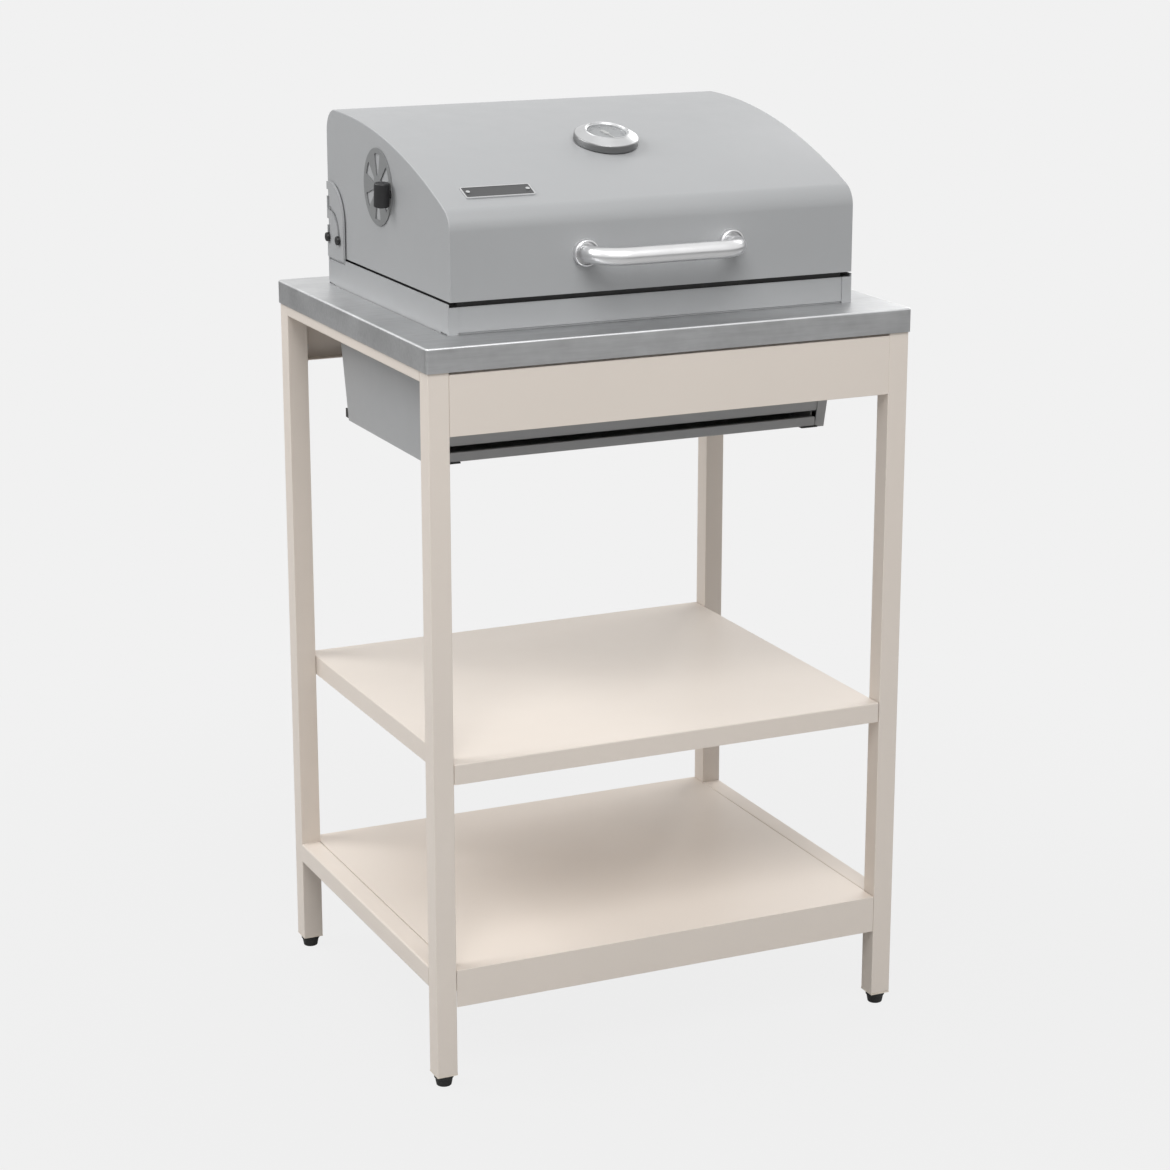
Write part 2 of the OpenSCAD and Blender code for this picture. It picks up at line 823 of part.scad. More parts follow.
// Tube along -Y from the hood, bent into a bar along X
module handle_bar() {
    end = handle_w / 2;
    y = -hood_half_d;
    color(bright)
    at_grill() translate([handle_x, 0, handle_z])
    difference() {
        union() {
            both_sides() {
                translate([end, y, 0]) rotate([90, 0, 0])
                    cylinder(d = handle_d, h = handle_leg);
                translate([end - handle_bend, y - handle_leg, 0]) rotate([0, 0, -90])
                    rotate_extrude(angle = 90) translate([handle_bend, 0]) circle(d = handle_d);
            }
            translate([-end + handle_bend, y - handle_reach, 0]) rotate([0, 90, 0])
                cylinder(d = handle_d, h = handle_w - 2 * handle_bend);
        }
        for (sx = [-1, 1])
            translate([sx * end, y + eps, 0]) rotate([90, 0, 0])
                cylinder(d = handle_screw_d + 0.2, h = handle_screw_depth + eps);
    }
}

// Domed rings round the handle's ends
module handle_rosettes() {
    color(bright)
    at_grill()
        for (sx = [-1, 1])
            translate([handle_x + sx * handle_w / 2, -hood_half_d, handle_z]) rotate([90, 0, 0])
                rotate_extrude()
                    translate([handle_d / 2 + 0.1, 0])
                        difference() {
                            square([(rosette_d - handle_d) / 2 - 0.1, rosette_h]);
                            translate([(rosette_d - handle_d) / 2 - 0.1 + 1, rosette_h + 1])
                                circle(4, $fn = 32);
                        }
}

module handle_screws() {
    head_h = 4;
    color(steel)
    at_grill()
        for (sx = [-1, 1])
            translate([handle_x + sx * handle_w / 2, -hood_half_d + sheet, handle_z])
                rotate([90, 0, 0]) {
                    translate([0, 0, -1]) cylinder(d = handle_screw_d,
                        h = sheet + handle_screw_depth);
                    translate([0, 0, -head_h]) cylinder(d = 12, h = head_h);
                }
}

/* ---- thermometer ---- */

module at_gauge() { at_grill() on_arch(gauge_x, -gauge_y) children(); }

// Straight band with a cone above it, open over the dial
module thermometer_bezel() {
    r = gauge_d / 2;
    floor_t = 2;
    color(bright)
    at_gauge() rotate_extrude()
        polygon([[thread_d / 2 + 0.2, 0.1], [r, 0.1], [r, rim_band], [gauge_cone_d / 2, gauge_h],
            [gauge_bore_d / 2, gauge_h], [gauge_bore_d / 2, glass_z + glass_t],
            [gauge_bore_d / 2 + 1.5, glass_z + glass_t], [gauge_bore_d / 2 + 1.5, floor_t],
            [thread_d / 2 + 0.2, floor_t]]);
}

// Dial on its post
module thermometer_dial() {
    color("#c9cbcc")
    at_gauge() rotate_extrude()
        polygon([[spindle_d / 2 + 0.1, 2], [8, 2], [8, dial_z], [gauge_bore_d / 2 + 1.2, dial_z],
            [gauge_bore_d / 2 + 1.2, dial_z + dial_t], [spindle_d / 2 + 0.1, dial_z + dial_t]]);
}

module thermometer_glass() {
    color([0.85, 0.9, 0.92, 0.4])
    at_gauge() translate([0, 0, glass_z])
        cylinder(r = gauge_bore_d / 2 + 1.2, h = glass_t - 0.05);
}

// Needle with a tail that balances it, on its spindle
module thermometer_pointer() {
    hub_d = 6;
    tail = 9;
    color("white")
    at_gauge() rotate(180 + needle_rest) {
        translate([0, 0, pointer_z]) linear_extrude(pointer_t) {
            circle(d = hub_d, $fn = 48);
            polygon([[-1, 0], [1, 0], [0.4, pointer_len], [-0.4, pointer_len]]);
            translate([-2.4, -tail]) square([4.8, tail]);
        }
        translate([0, 0, 3]) cylinder(d = spindle_d, h = pointer_z - 3 + 0.1, $fn = 24);
    }
}

// Threaded stem through the hood, then the thin probe
module thermometer_probe() {
    color(steel)
    at_gauge() {
        translate([0, 0, -14]) cylinder(d = thread_d, h = 14 + 2);
        translate([0, 0, -probe_len]) cylinder(d = probe_d, h = probe_len);
    }
}

module thermometer_nut() {
    color(steel)
    at_gauge() translate([0, 0, -sheet - 0.3 - 5])
        difference() {
            hex_prism(14, 5);
            translate([0, 0, -eps]) cylinder(d = thread_d + 0.2, h = 5 + 2 * eps);
        }
}

/* ---- blank plate ---- */

module badge_plate() {
    color(steel)
    at_grill() on_arch(badge_x, badge_y) translate([0, 0, badge_gap])
        difference() {
            linear_extrude(badge_t) rounded_rect(badge_w, badge_h, 3);
            for (sx = [-1, 1]) translate([sx * (badge_w / 2 - 6), 0, -eps])
                cylinder(d = 3 + 2 * fit, h = badge_t + 2 * eps, $fn = 48);
        }
}

module badge_rivets() {
    color(steel)
    at_grill() on_arch(badge_x, badge_y)
        for (sx = [-1, 1]) translate([sx * (badge_w / 2 - 6), 0, 0]) {
            translate([0, 0, -4]) cylinder(d = 3, h = 4 + badge_gap + badge_t + 0.5, $fn = 48);
            translate([0, 0, badge_gap + badge_t]) cylinder(d = 5, h = 1, $fn = 48);
        }
}

/* ---- vent ---- */

module at_vent() { at_grill() translate([0, vent_y, vent_z]) children(); }

// Pin on which the damper turns, riveted in the hood's left side
module vent_rivet() {
    inside = side_sheet + 2.5;
    color(steel)
    at_vent() rotate([0, -90, 0]) {
        translate([0, 0, hood_half_w - inside])
            cylinder(d = vent_pin_d, h = inside + vent_x1 - hood_half_w + vent_gap + 1);
        translate([0, 0, hood_half_w - inside]) cylinder(d = 11, h = inside - side_sheet);
        translate([0, 0, vent_x1 + vent_gap]) cylinder(d = 11, h = 2);
    }
}

module vent_disc() {
    color("#8f9192")
    at_vent()
        side_plate(-vent_x1, -vent_x0)
            difference() {
                circle(d = vent_d);
                circle(d = vent_pin_d + 0.1);
                vent_slots(vent_turn);
                rotate(knob_turn) translate([-knob_r, 0]) circle(d = knob_pin_d + 0.1, $fn = 48);
            }
}

// Barrel across the damper's front rim
module vent_grip() {
    color(black)
    at_vent() rotate([knob_turn, 0, 0]) translate([-knob_x, -knob_r, 0])
        difference() {
            union() {
                translate([0, 0, -knob_len / 2]) cylinder(d = knob_d, h = knob_len);
                rotate([0, 90, 0]) cylinder(d = 8, h = knob_x - vent_x1, $fn = 48);
            }
            translate([knob_x - vent_x1 - knob_pin_depth, 0, 0]) rotate([0, 90, 0])
                cylinder(d = knob_pin_d + 0.1, h = knob_pin_depth + eps, $fn = 48);
        }
}

module vent_grip_pin() {
    color(steel)
    at_vent() rotate([knob_turn, 0, 0]) translate([-vent_x0, -knob_r, 0]) rotate([0, -90, 0])
        cylinder(d = knob_pin_d, h = vent_t + knob_pin_depth - 0.5, $fn = 48);
}

/* ---- nodes ---- */

leg(-1, -1);  // leg_front_left
leg(1, -1);  // leg_front_right
leg(-1, 1);  // leg_rear_left
leg(1, 1);  // leg_rear_right
leg_plugs();
feet();
top_rail(-1);  // top_rail_left
top_rail(1);  // top_rail_right
lower_rail(-1);  // lower_rail_left
lower_rail(1);  // lower_rail_right
apron(-1);  // apron_front
apron(1);  // apron_rear
apron_screws();
middle_shelf();
lower_shelf();
shelf_screws();
worktop();
at_grill() mirror([1, 0, 0]) firebox_side();  // firebox_side_left
at_grill() firebox_side();  // firebox_side_right
firebox_front();
firebox_rear();
at_grill() collar_panel();  // collar_front
at_grill() mirror([0, 1, 0]) collar_panel();  // collar_rear
inner_rim();
cooking_grate();
charcoal_grate();
charcoal_ledges();
at_grill() mirror([1, 0, 0]) drawer_runner();  // drawer_runner_left
at_grill() drawer_runner();  // drawer_runner_right
at_grill() mirror([1, 0, 0]) hinge_plate();  // hinge_plate_left
at_grill() hinge_plate();  // hinge_plate_right
hinge_plate_nuts();
ash_drawer();
hood_shell();
hood_side_left();
hood_side_right();
pivot_bolts();
guide_bolts();
hinge_nuts();
handle_bar();
handle_rosettes();
handle_screws();
thermometer_bezel();
thermometer_dial();
thermometer_glass();
thermometer_probe();
thermometer_nut();
thermometer_pointer();
badge_plate();
badge_rivets();
vent_rivet();
vent_disc();
vent_grip();
vent_grip_pin();
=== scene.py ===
"""Finishes, rounded sheet-metal pieces, light and camera for the box-hood charcoal grill."""

import logging
import math
from collections.abc import Callable, Iterable
from dataclasses import dataclass
from enum import Enum
from typing import Any

import bmesh
import bpy
from bmesh.types import BMEdge, BMesh, BMFace, BMVert
from mathutils import Matrix, Vector


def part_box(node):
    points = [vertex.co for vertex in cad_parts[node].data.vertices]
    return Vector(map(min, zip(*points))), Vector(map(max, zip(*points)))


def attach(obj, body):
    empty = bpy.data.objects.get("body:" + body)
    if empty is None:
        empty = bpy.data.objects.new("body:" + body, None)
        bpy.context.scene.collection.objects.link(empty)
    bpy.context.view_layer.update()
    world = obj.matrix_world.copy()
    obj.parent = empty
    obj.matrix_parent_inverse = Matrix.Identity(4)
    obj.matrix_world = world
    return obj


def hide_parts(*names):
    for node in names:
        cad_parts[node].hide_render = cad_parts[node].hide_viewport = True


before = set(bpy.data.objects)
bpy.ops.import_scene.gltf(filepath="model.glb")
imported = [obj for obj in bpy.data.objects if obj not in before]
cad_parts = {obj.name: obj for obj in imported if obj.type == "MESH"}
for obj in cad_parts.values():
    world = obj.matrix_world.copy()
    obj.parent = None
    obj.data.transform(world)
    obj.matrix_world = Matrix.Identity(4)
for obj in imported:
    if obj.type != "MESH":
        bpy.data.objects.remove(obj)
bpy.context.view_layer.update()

LOG = logging.getLogger("grill")

MM = 0.001
MERGE = 0.00002
FLAT_ANGLE = math.radians(0.6)
SMOOTH_ANGLE = math.radians(32)
WEIGHT_LIMIT = 50

Colour = tuple[float, float, float]


def shade(r: float, g: float, b: float) -> Colour:
    """Linear colour of a display colour with parts from 0 to 1."""
    return tuple(
        part / 12.92 if part <= 0.04045 else ((part + 0.055) / 1.055) ** 2.4
        for part in (r, g, b)
    )


class Body(Enum):
    """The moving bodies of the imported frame."""

    STAND = "stand"
    HOOD = "hood"
    DAMPER = "damper"
    NEEDLE = "needle"
    DRAWER = "drawer"


# ---- shader expressions ----


@dataclass(frozen=True)
class Term:
    """A number that varies over a surface, which adds Math nodes as it is worked with.

    Attributes:
        shader: The shader whose node tree the new nodes go to.
        socket: The output that carries the number.
    """

    shader: "Shader"
    socket: bpy.types.NodeSocket

    def math(self, operation: str, *others: Any, clamp: bool = False) -> "Term":
        """Adds one Math node.

        Args:
            operation: Blender's name of the operation.
            others: The second and third operands.
            clamp: Whether the result is kept from 0 to 1.

        Returns:
            The node's result.
        """
        return self.shader.maths(operation, self, *others, clamp=clamp)

    def __add__(self, other: Any) -> "Term":
        """The sum."""
        return self.math("ADD", other)

    __radd__ = __add__

    def __sub__(self, other: Any) -> "Term":
        """The difference."""
        return self.math("SUBTRACT", other)

    def __rsub__(self, other: Any) -> "Term":
        """The difference from a plain number."""
        return self.shader.maths("SUBTRACT", other, self)

    def __mul__(self, other: Any) -> "Term":
        """The product."""
        return self.math("MULTIPLY", other)

    __rmul__ = __mul__

    def __truediv__(self, other: Any) -> "Term":
        """The quotient."""
        return self.math("DIVIDE", other)

    def __pow__(self, other: Any) -> "Term":
        """The power."""
        return self.math("POWER", other)

    def clamped(self) -> "Term":
        """The number kept from 0 to 1."""
        return self.math("ADD", 0.0, clamp=True)

    def between(self, low: float, high: float) -> "Term":
        """A soft step.

        Args:
            low: Where the step is 0.
            high: Where the step is 1.

        Returns:
            The number's place between the two, smoothed.
        """
        node = self.shader.node(
            "ShaderNodeMapRange",
            {"interpolation_type": "SMOOTHSTEP"},
            {"Value": self, "From Min": low, "From Max": high},
        )
        return Term(self.shader, node.outputs["Result"])


class Shader:
    """One node tree, and the few ways in which nodes are added to it."""

    def __init__(self, name: str, owner: bpy.types.World | None = None) -> None:
        """Starts an empty node tree.

        Args:
            name: The new material's name.
            owner: The world that the tree belongs to, in place of a new material.
        """
        self.material = owner or bpy.data.materials.new(name)
        self.material.use_nodes = True
        self.tree = self.material.node_tree
        self.tree.nodes.clear()

    def node(
        self,
        kind: str,
        settings: dict[str, Any] | None = None,
        sockets: dict[Any, Any] | None = None,
    ) -> bpy.types.Node:
        """Adds a node.

        Args:
            kind: The node's Blender type.
            settings: Its properties; "stops" holds a ramp's positions and colours.
            sockets: Values or links for its inputs, by name or place.

        Returns:
            The new node.
        """
        made = self.tree.nodes.new(kind)
        for key, value in (settings or {}).items():
            if key == "stops":
                self._set_stops(made.color_ramp, value)
            else:
                setattr(made, key, value)
        for key, value in (sockets or {}).items():
            self.feed(made.inputs[key], value)
        return made

    def _set_stops(
        self, ramp: bpy.types.ColorRamp, stops: list[tuple[float, Colour]]
    ) -> None:
        """Sets the stops of a colour ramp.

        Args:
            ramp: The ramp.
            stops: The position and colour of each stop.
        """
        while len(ramp.elements) < len(stops):
            ramp.elements.new(1.0)
        for element, (place, colour) in zip(ramp.elements, stops):
            element.position = place
            element.color = (*colour, 1.0)

    def feed(self, socket: bpy.types.NodeSocket, value: Any) -> None:
        """Links or sets an input.

        Args:
            socket: The input.
            value: A term, an output socket, a colour, a vector or a number.
        """
        if isinstance(value, Term):
            value = value.socket
        if isinstance(value, bpy.types.NodeSocket):
            self.tree.links.new(value, socket)
        elif socket.type == "RGBA":
            socket.default_value = (*value, 1.0)
        else:
            socket.default_value = value

    def maths(self, operation: str, *values: Any, clamp: bool = False) -> Term:
        """Adds one Math node.

        Args:
            operation: Blender's name of the operation.
            values: Its operands.
            clamp: Whether the result is kept from 0 to 1.

        Returns:
            The result.
        """
        node = self.node(
            "ShaderNodeMath",
            {"operation": operation, "use_clamp": clamp},
            dict(enumerate(values)),
        )
        return Term(self, node.outputs[0])

    def place(
        self,
        origin: Vector | None = None,
        turn: Vector | None = None,
        scale: tuple[float, float, float] = (1, 1, 1),
    ) -> bpy.types.NodeSocket:
        """The surface's place in metres, centred, turned and stretched as asked.

        Args:
            origin: The point that becomes zero.
            turn: The direction that becomes Z.
            scale: The factor along each axis.

        Returns:
            The vector output.
        """
        where = self.node("ShaderNodeTexCoord").outputs["Object"]
        if origin is not None:
            turned = turn or Vector((0, 0, 1))
            centre = self.node(
                "ShaderNodeVectorMath",
                {"operation": "SUBTRACT"},
                {0: where, 1: tuple(origin)},
            )
            back = turned.rotation_difference(Vector((0, 0, 1))).to_euler()
            where = self.node(
                "ShaderNodeMapping",
                {"vector_type": "POINT"},
                {"Vector": centre.outputs[0], "Rotation": tuple(back)},
            ).outputs[0]
        return self.node(
            "ShaderNodeVectorMath",
            {"operation": "MULTIPLY"},
            {0: where, 1: scale},
        ).outputs[0]

    def noise(
        self, where: bpy.types.NodeSocket, scale: float, detail: float = 2.0
    ) -> Term:
        """A noise that runs from 0 to 1 about 0.5.

        Args:
            where: The vector that it is read at.
            scale: Its cells per metre.
            detail: How many finer layers it has.

        Returns:
            The noise.
        """
        node = self.node(
            "ShaderNodeTexNoise",
            {"noise_dimensions": "3D"},
            {"Vector": where, "Scale": scale, "Detail": detail, "Roughness": 0.55},
        )
        return Term(self, node.outputs["Fac"])

    def tint(self, amount: Any, low: Colour, high: Colour) -> bpy.types.NodeSocket:
        """A colour between two others.

        Args:
            amount: 0 for the first, 1 for the second.
            low: The first colour, or an output that carries one.
            high: The second colour.

        Returns:
            The colour output.
        """
        node = self.node(
            "ShaderNodeMix", {"data_type": "RGBA"}, {0: amount, 6: low, 7: high}
        )
        return node.outputs[2]

    def relief(self, height: Term, depth: float) -> bpy.types.NodeSocket:
        """A normal that shows a fine relief.

        Args:
            height: The relief from 0 to 1.
            depth: Its depth in metres.

        Returns:
            The normal output.
        """
        node = self.node(
            "ShaderNodeBump",
            {},
            {"Strength": 1.0, "Distance": depth, "Height": height},
        )
        return node.outputs[0]

    def surface(self, **sockets: Any) -> bpy.types.Material:
        """Ends the material in one Principled shader.

        Args:
            sockets: Its inputs, with spaces written as underscores.

        Returns:
            The material.
        """
        named = {key.replace("_", " "): value for key, value in sockets.items()}
        shader = self.node("ShaderNodeBsdfPrincipled", {}, named)
        self.node("ShaderNodeOutputMaterial", {}, {"Surface": shader.outputs[0]})
        return self.material


def lighter(colour: Colour, factor: float) -> Colour:
    """A colour made lighter or darker by a factor."""
    return tuple(min(1.0, part * factor) for part in colour)


# ---- finishes ----


@dataclass(frozen=True)
class PowderCoat:
    """Baked paint with a fine pebbled skin.

    Attributes:
        name: The material's name.
        colour: The paint's colour.
        gloss_roughness: Roughness of the clean paint.
        skin_depth: Depth of the pebbled skin in metres.
        flake: How far the fine grain lightens and darkens the paint.
        mottle: How far broad clouds lighten and darken the paint.
        metallic: Share of metal pigment.
    """

    name: str
    colour: Colour
    gloss_roughness: float = 0.42
    skin_depth: float = 0.00006
    flake: float = 0.05
    mottle: float = 0.035
    metallic: float = 0.0

    def make(self) -> bpy.types.Material:
        """Builds the material."""
        shader = Shader(self.name)
        where = shader.place()
        skin = shader.noise(where, 700, 2)
        grain = shader.noise(where, 1900, 1) - 0.5
        clouds = shader.noise(where, 5, 3) - 0.5
        rubbed = shader.noise(where, 28, 4)
        tone = (
            0.5 + grain * (self.flake * 4) + clouds * (self.mottle * 8)
        ).clamped()
        colour = shader.tint(
            tone, lighter(self.colour, 0.88), lighter(self.colour, 1.12)
        )
        rough = self.gloss_roughness + (rubbed - 0.5) * 0.16 + grain * 0.05
        return shader.surface(
            Base_Color=colour,
            Roughness=rough,
            Metallic=self.metallic,
            Normal=shader.relief(skin, self.skin_depth),
        )


@dataclass(frozen=True)
class BrushedSheet:
    """Stainless sheet brushed along X, with cloudy marks from handling.

    Attributes:
        name: The material's name.
        colour: The metal's colour.
        roughness: Roughness across the brushing.
        grain_depth: Depth of the brushing in metres.
        cloud: How strongly the cloudy marks show.
    """

    name: str
    colour: Colour
    roughness: float = 0.34
    grain_depth: float = 0.00003
    cloud: float = 0.5

    def make(self) -> bpy.types.Material:
        """Builds the material."""
        shader = Shader(self.name)
        lines = shader.noise(shader.place(scale=(0.03, 1, 1)), 1500, 3)
        streaks = shader.noise(shader.place(scale=(0.06, 1, 1)), 220, 4)
        where = shader.place()
        spangle = Term(
            shader,
            shader.node(
                "ShaderNodeTexVoronoi",
                {"feature": "F1"},
                {"Vector": where, "Scale": 95.0, "Randomness": 1.0},
            ).outputs["Distance"],
        )
        clouds = shader.noise(where, 17, 5)
        smears = shader.noise(shader.place(scale=(0.4, 1, 1)), 44, 3)
        mark = (
            (clouds - 0.5) * 1.4 + (spangle - 0.4) * 0.35 + (smears - 0.5) * 0.6
        ) * self.cloud
        tone = (0.5 + (streaks - 0.5) * 0.9 + (lines - 0.5) * 0.5 + mark).clamped()
        colour = shader.tint(
            tone, lighter(self.colour, 0.84), lighter(self.colour, 1.16)
        )
        rough = self.roughness + (lines - 0.5) * 0.14 + mark * 0.16
        return shader.surface(
            Base_Color=colour,
            Roughness=rough,
            Metallic=1.0,
            Anisotropic=0.4,
            Normal=shader.relief(lines, self.grain_depth),
        )


@dataclass(frozen=True)
class PolishedSteel:
    """Polished stainless tube or bar with faint wipe marks.

    Attributes:
        name: The material's name.
        colour: The metal's colour.
        roughness: Roughness of the clean metal.
        scratch: The factor along each axis of the fine scratches.
    """

    name: str
    colour: Colour
    roughness: float = 0.16
    scratch: tuple[float, float, float] = (0.05, 1, 1)

    def make(self) -> bpy.types.Material:
        """Builds the material."""
        shader = Shader(self.name)
        fine = shader.noise(shader.place(scale=self.scratch), 2600, 2)
        wiped = shader.noise(shader.place(), 60, 4)
        tone = (0.5 + (fine - 0.5) * 0.6 + (wiped - 0.5) * 0.5).clamped()
        colour = shader.tint(
            tone, lighter(self.colour, 0.93), lighter(self.colour, 1.05)
        )
        rough = self.roughness + (wiped - 0.5) * 0.05 + (fine - 0.5) * 0.04
        return shader.surface(
            Base_Color=colour,
            Roughness=rough,
            Metallic=1.0,
            Normal=shader.relief(fine, 0.000004),
        )


@dataclass(frozen=True)
class TurnedSteel:
    """Steel turned on a lathe, with fine rings about its own axis and a painted shade on its lower
    band.

    Attributes:
        name: The material's name.
        colour: The metal's colour.
        centre: A point on the axis.
        axis: The direction of the axis.
        painted_shade_height: Height along the axis below which the metal's colour is painted darker,
            a painted shade that stands for the dark reflection of the bezel's band.
        roughness: Roughness across the rings.
    """

    name: str
    colour: Colour
    centre: Vector
    axis: Vector
    painted_shade_height: float
    roughness: float = 0.24

    def make(self) -> bpy.types.Material:
        """Builds the material."""
        shader = Shader(self.name)
        where = shader.place(self.centre, self.axis)
        parts = shader.node("ShaderNodeSeparateXYZ", {}, {"Vector": where}).outputs
        x, y, z = (Term(shader, part) for part in parts)
        radius = (x * x + y * y) ** 0.5
        ring = shader.node(
            "ShaderNodeCombineXYZ", {}, {0: radius, 1: z, 2: 0.0}
        ).outputs[0]
        rings = shader.noise(ring, 2400, 2)
        wiped = shader.noise(where, 90, 3)
        tone = (0.5 + (rings - 0.5) * 0.9 + (wiped - 0.5) * 0.4).clamped()
        colour = shader.tint(
            tone, lighter(self.colour, 0.88), lighter(self.colour, 1.08)
        )
        # Below this height the colour drops to 0.36 of the metal's: a painted shade in place of the
        # dark reflection that the upright band shows.
        bright = z.between(self.painted_shade_height - 0.3 * MM, self.painted_shade_height + 0.3 * MM)
        return shader.surface(
            Base_Color=shader.tint(bright, lighter(self.colour, 0.36), colour),
            Roughness=self.roughness + (wiped - 0.5) * 0.12,
            Metallic=1.0,
            Normal=shader.relief(rings, 0.000008),
        )


@dataclass(frozen=True)
class Moulded:
    """Moulded plastic or rubber with a fine sparked skin.

    Attributes:
        name: The material's name.
        colour: Its colour.
        roughness: Roughness of the clean skin.
        skin_depth: Depth of the sparked skin in metres.
    """

    name: str
    colour: Colour
    roughness: float = 0.5
    skin_depth: float = 0.00005

    def make(self) -> bpy.types.Material:
        """Builds the material."""
        shader = Shader(self.name)
        where = shader.place()
        skin = shader.noise(where, 1300, 2)
        dust = shader.noise(where, 120, 4)
        colour = shader.tint(
            (dust * 0.8).clamped(), self.colour, lighter(self.colour, 1.7)
        )
        return shader.surface(
            Base_Color=colour,
            Roughness=self.roughness + (dust - 0.5) * 0.2,
            Normal=shader.relief(skin, self.skin_depth),
        )


@dataclass(frozen=True)
class Enamel:
    """Matt heat-proof coat of the parts round the fire.

    Attributes:
        name: The material's name.
        colour: Its colour.
        ash: The colour of the dry film that settles on it.
    """

    name: str
    colour: Colour
    ash: Colour

    def make(self) -> bpy.types.Material:
        """Builds the material."""
        shader = Shader(self.name)
        where = shader.place()
        film = shader.noise(where, 22, 5).between(0.45, 0.8)
        skin = shader.noise(where, 800, 3)
        colour = shader.tint(film * 0.35, self.colour, self.ash)
        return shader.surface(
            Base_Color=colour,
            Roughness=0.55 + film * 0.2,
            Normal=shader.relief(skin, 0.00007),
        )


@dataclass(frozen=True)
class ClearGlass:
    """Clear flat glass over the dial.

    Attributes:
        name: The material's name.
        cover: How much the glass hides.
    """

    name: str
    cover: float = 0.08

    def make(self) -> bpy.types.Material:
        """Builds the material."""
        shader = Shader(self.name)
        smear = shader.noise(shader.place(), 140, 4)
        glass = shader.surface(
            Base_Color=(0.9, 0.92, 0.93),
            Roughness=0.04 + smear * 0.06,
            Alpha=self.cover + (smear - 0.5) * 0.05,
            IOR=1.5,
        )
        glass.surface_render_method = "BLENDED"
        return glass


STAND_PAINT = PowderCoat(
    "stand_beige_coat", shade(0.885, 0.847, 0.808), 0.44, 0.00005, 0.03, 0.025
)
GRILL_PAINT = PowderCoat(
    "grill_silver_grey_coat", shade(0.65, 0.655, 0.66), 0.4, 0.00006, 0.06, 0.03
)
DAMPER_PAINT = PowderCoat("damper_grey_coat", shade(0.50, 0.505, 0.507), 0.42)
DIAL_PAINT = PowderCoat("dial_grey", shade(0.55, 0.555, 0.56), 0.6, 0.00001, 0.02, 0.02)
NEEDLE_PAINT = PowderCoat("needle_white", shade(0.68, 0.68, 0.675), 0.5, 0.00001, 0.01, 0.01)
TICK_INK = PowderCoat("dial_ink", shade(0.33, 0.33, 0.34), 0.6, 0.00001, 0.01, 0.01)
BLACK_OXIDE = PowderCoat("black_bolt_coat", shade(0.09, 0.09, 0.095), 0.38)
BADGE_FACE = PowderCoat("badge_dark_face", shade(0.27, 0.272, 0.275), 0.4, 0.00002)
WORKTOP_STEEL = BrushedSheet("worktop_brushed_steel", (0.60, 0.605, 0.61), 0.4)
GRATE_STEEL = PolishedSteel("grate_steel", (0.42, 0.415, 0.405), 0.3)
HANDLE_STEEL = PolishedSteel("handle_polished_steel", (0.84, 0.84, 0.845), 0.3)
ZINC = PolishedSteel("zinc_plated_steel", (0.56, 0.565, 0.575), 0.3)
BADGE_RIM = PolishedSteel("badge_bright_rim", (0.74, 0.745, 0.75), 0.22)
FOOT_RUBBER = Moulded("foot_black_rubber", shade(0.11, 0.11, 0.11), 0.6)
PLUG_PLASTIC = Moulded("plug_beige_plastic", shade(0.80, 0.76, 0.71), 0.5, 0.00002)
GRIP_PLASTIC = Moulded("grip_black_plastic", shade(0.11, 0.11, 0.115), 0.42)
FIRE_BLACK = Enamel("fire_black_enamel", (0.018, 0.018, 0.018), (0.16, 0.155, 0.15))
GLASS = ClearGlass("dial_glass")


class Finishes:
    """The materials made so far, each built once."""

    def __init__(self) -> None:
        """Starts with none made."""
        self._made: dict[str, bpy.types.Material] = {}

    def get(self, finish: Any) -> bpy.types.Material:
        """The material of a finish, built on its first use."""
        if finish.name not in self._made:
            self._made[finish.name] = finish.make()
        return self._made[finish.name]


FINISHES = Finishes()


# ---- shaping ----


def middle(node: str) -> Vector:
    """The middle of a CAD node's box."""
    low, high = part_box(node)
    return (low + high) / 2


def size(node: str) -> Vector:
    """The size of a CAD node's box."""
    low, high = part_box(node)
    return high - low


def merged(node: str) -> BMesh:
    """A CAD node's shape with its loose triangles joined into flat faces.

    Args:
        node: The node's name.

    Returns:
        The new bmesh.
    """
    shape = bmesh.new()
    shape.from_mesh(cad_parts[node].data)
    bmesh.ops.remove_doubles(shape, verts=shape.verts, dist=MERGE)
    bmesh.ops.dissolve_limit(
        shape,
        angle_limit=FLAT_ANGLE,
        verts=shape.verts,
        edges=shape.edges,
        use_dissolve_boundaries=False,
    )
    return shape


def breadth(face: BMFace) -> float:
    """How wide a face is across its longest edge."""
    longest = max(edge.calc_length() for edge in face.edges)
    return face.calc_area() / longest


def is_fold(edge: BMEdge, least: float = 0.004) -> bool:
    """Whether an edge is an outside fold between two broad flat faces.

    Args:
        edge: The edge.
        least: The breadth that both faces need.

    Returns:
        True for a fold.
    """
    if len(edge.link_faces) != 2 or not edge.is_convex:
        return False
    if edge.calc_face_angle(0) < math.radians(25):
        return False
    return all(breadth(face) > least for face in edge.link_faces)


def soften(
    shape: BMesh, edges: Iterable[BMEdge], radius: float, segments: int = 4
) -> None:
    """Rounds edges.

    Args:
        shape: The bmesh.
        edges: The edges to round.
        radius: The bend's outside radius.
        segments: The number of facets.
    """
    picked = list(edges)
    if picked:
        bmesh.ops.bevel(
            shape,
            geom=picked,
            offset=radius,
            offset_type="OFFSET",
            segments=segments,
            profile=0.5,
            affect="EDGES",
            clamp_overlap=True,
            material=-1,
        )


def block(low: Vector, high: Vector) -> BMesh:
    """A box between two corners."""
    shape = bmesh.new()
    span = Vector(high) - Vector(low)
    place = Matrix.Translation((Vector(high) + Vector(low)) / 2)
    bmesh.ops.create_cube(
        shape, size=1.0, matrix=place @ Matrix.Diagonal((*span, 1.0))
    )
    return shape


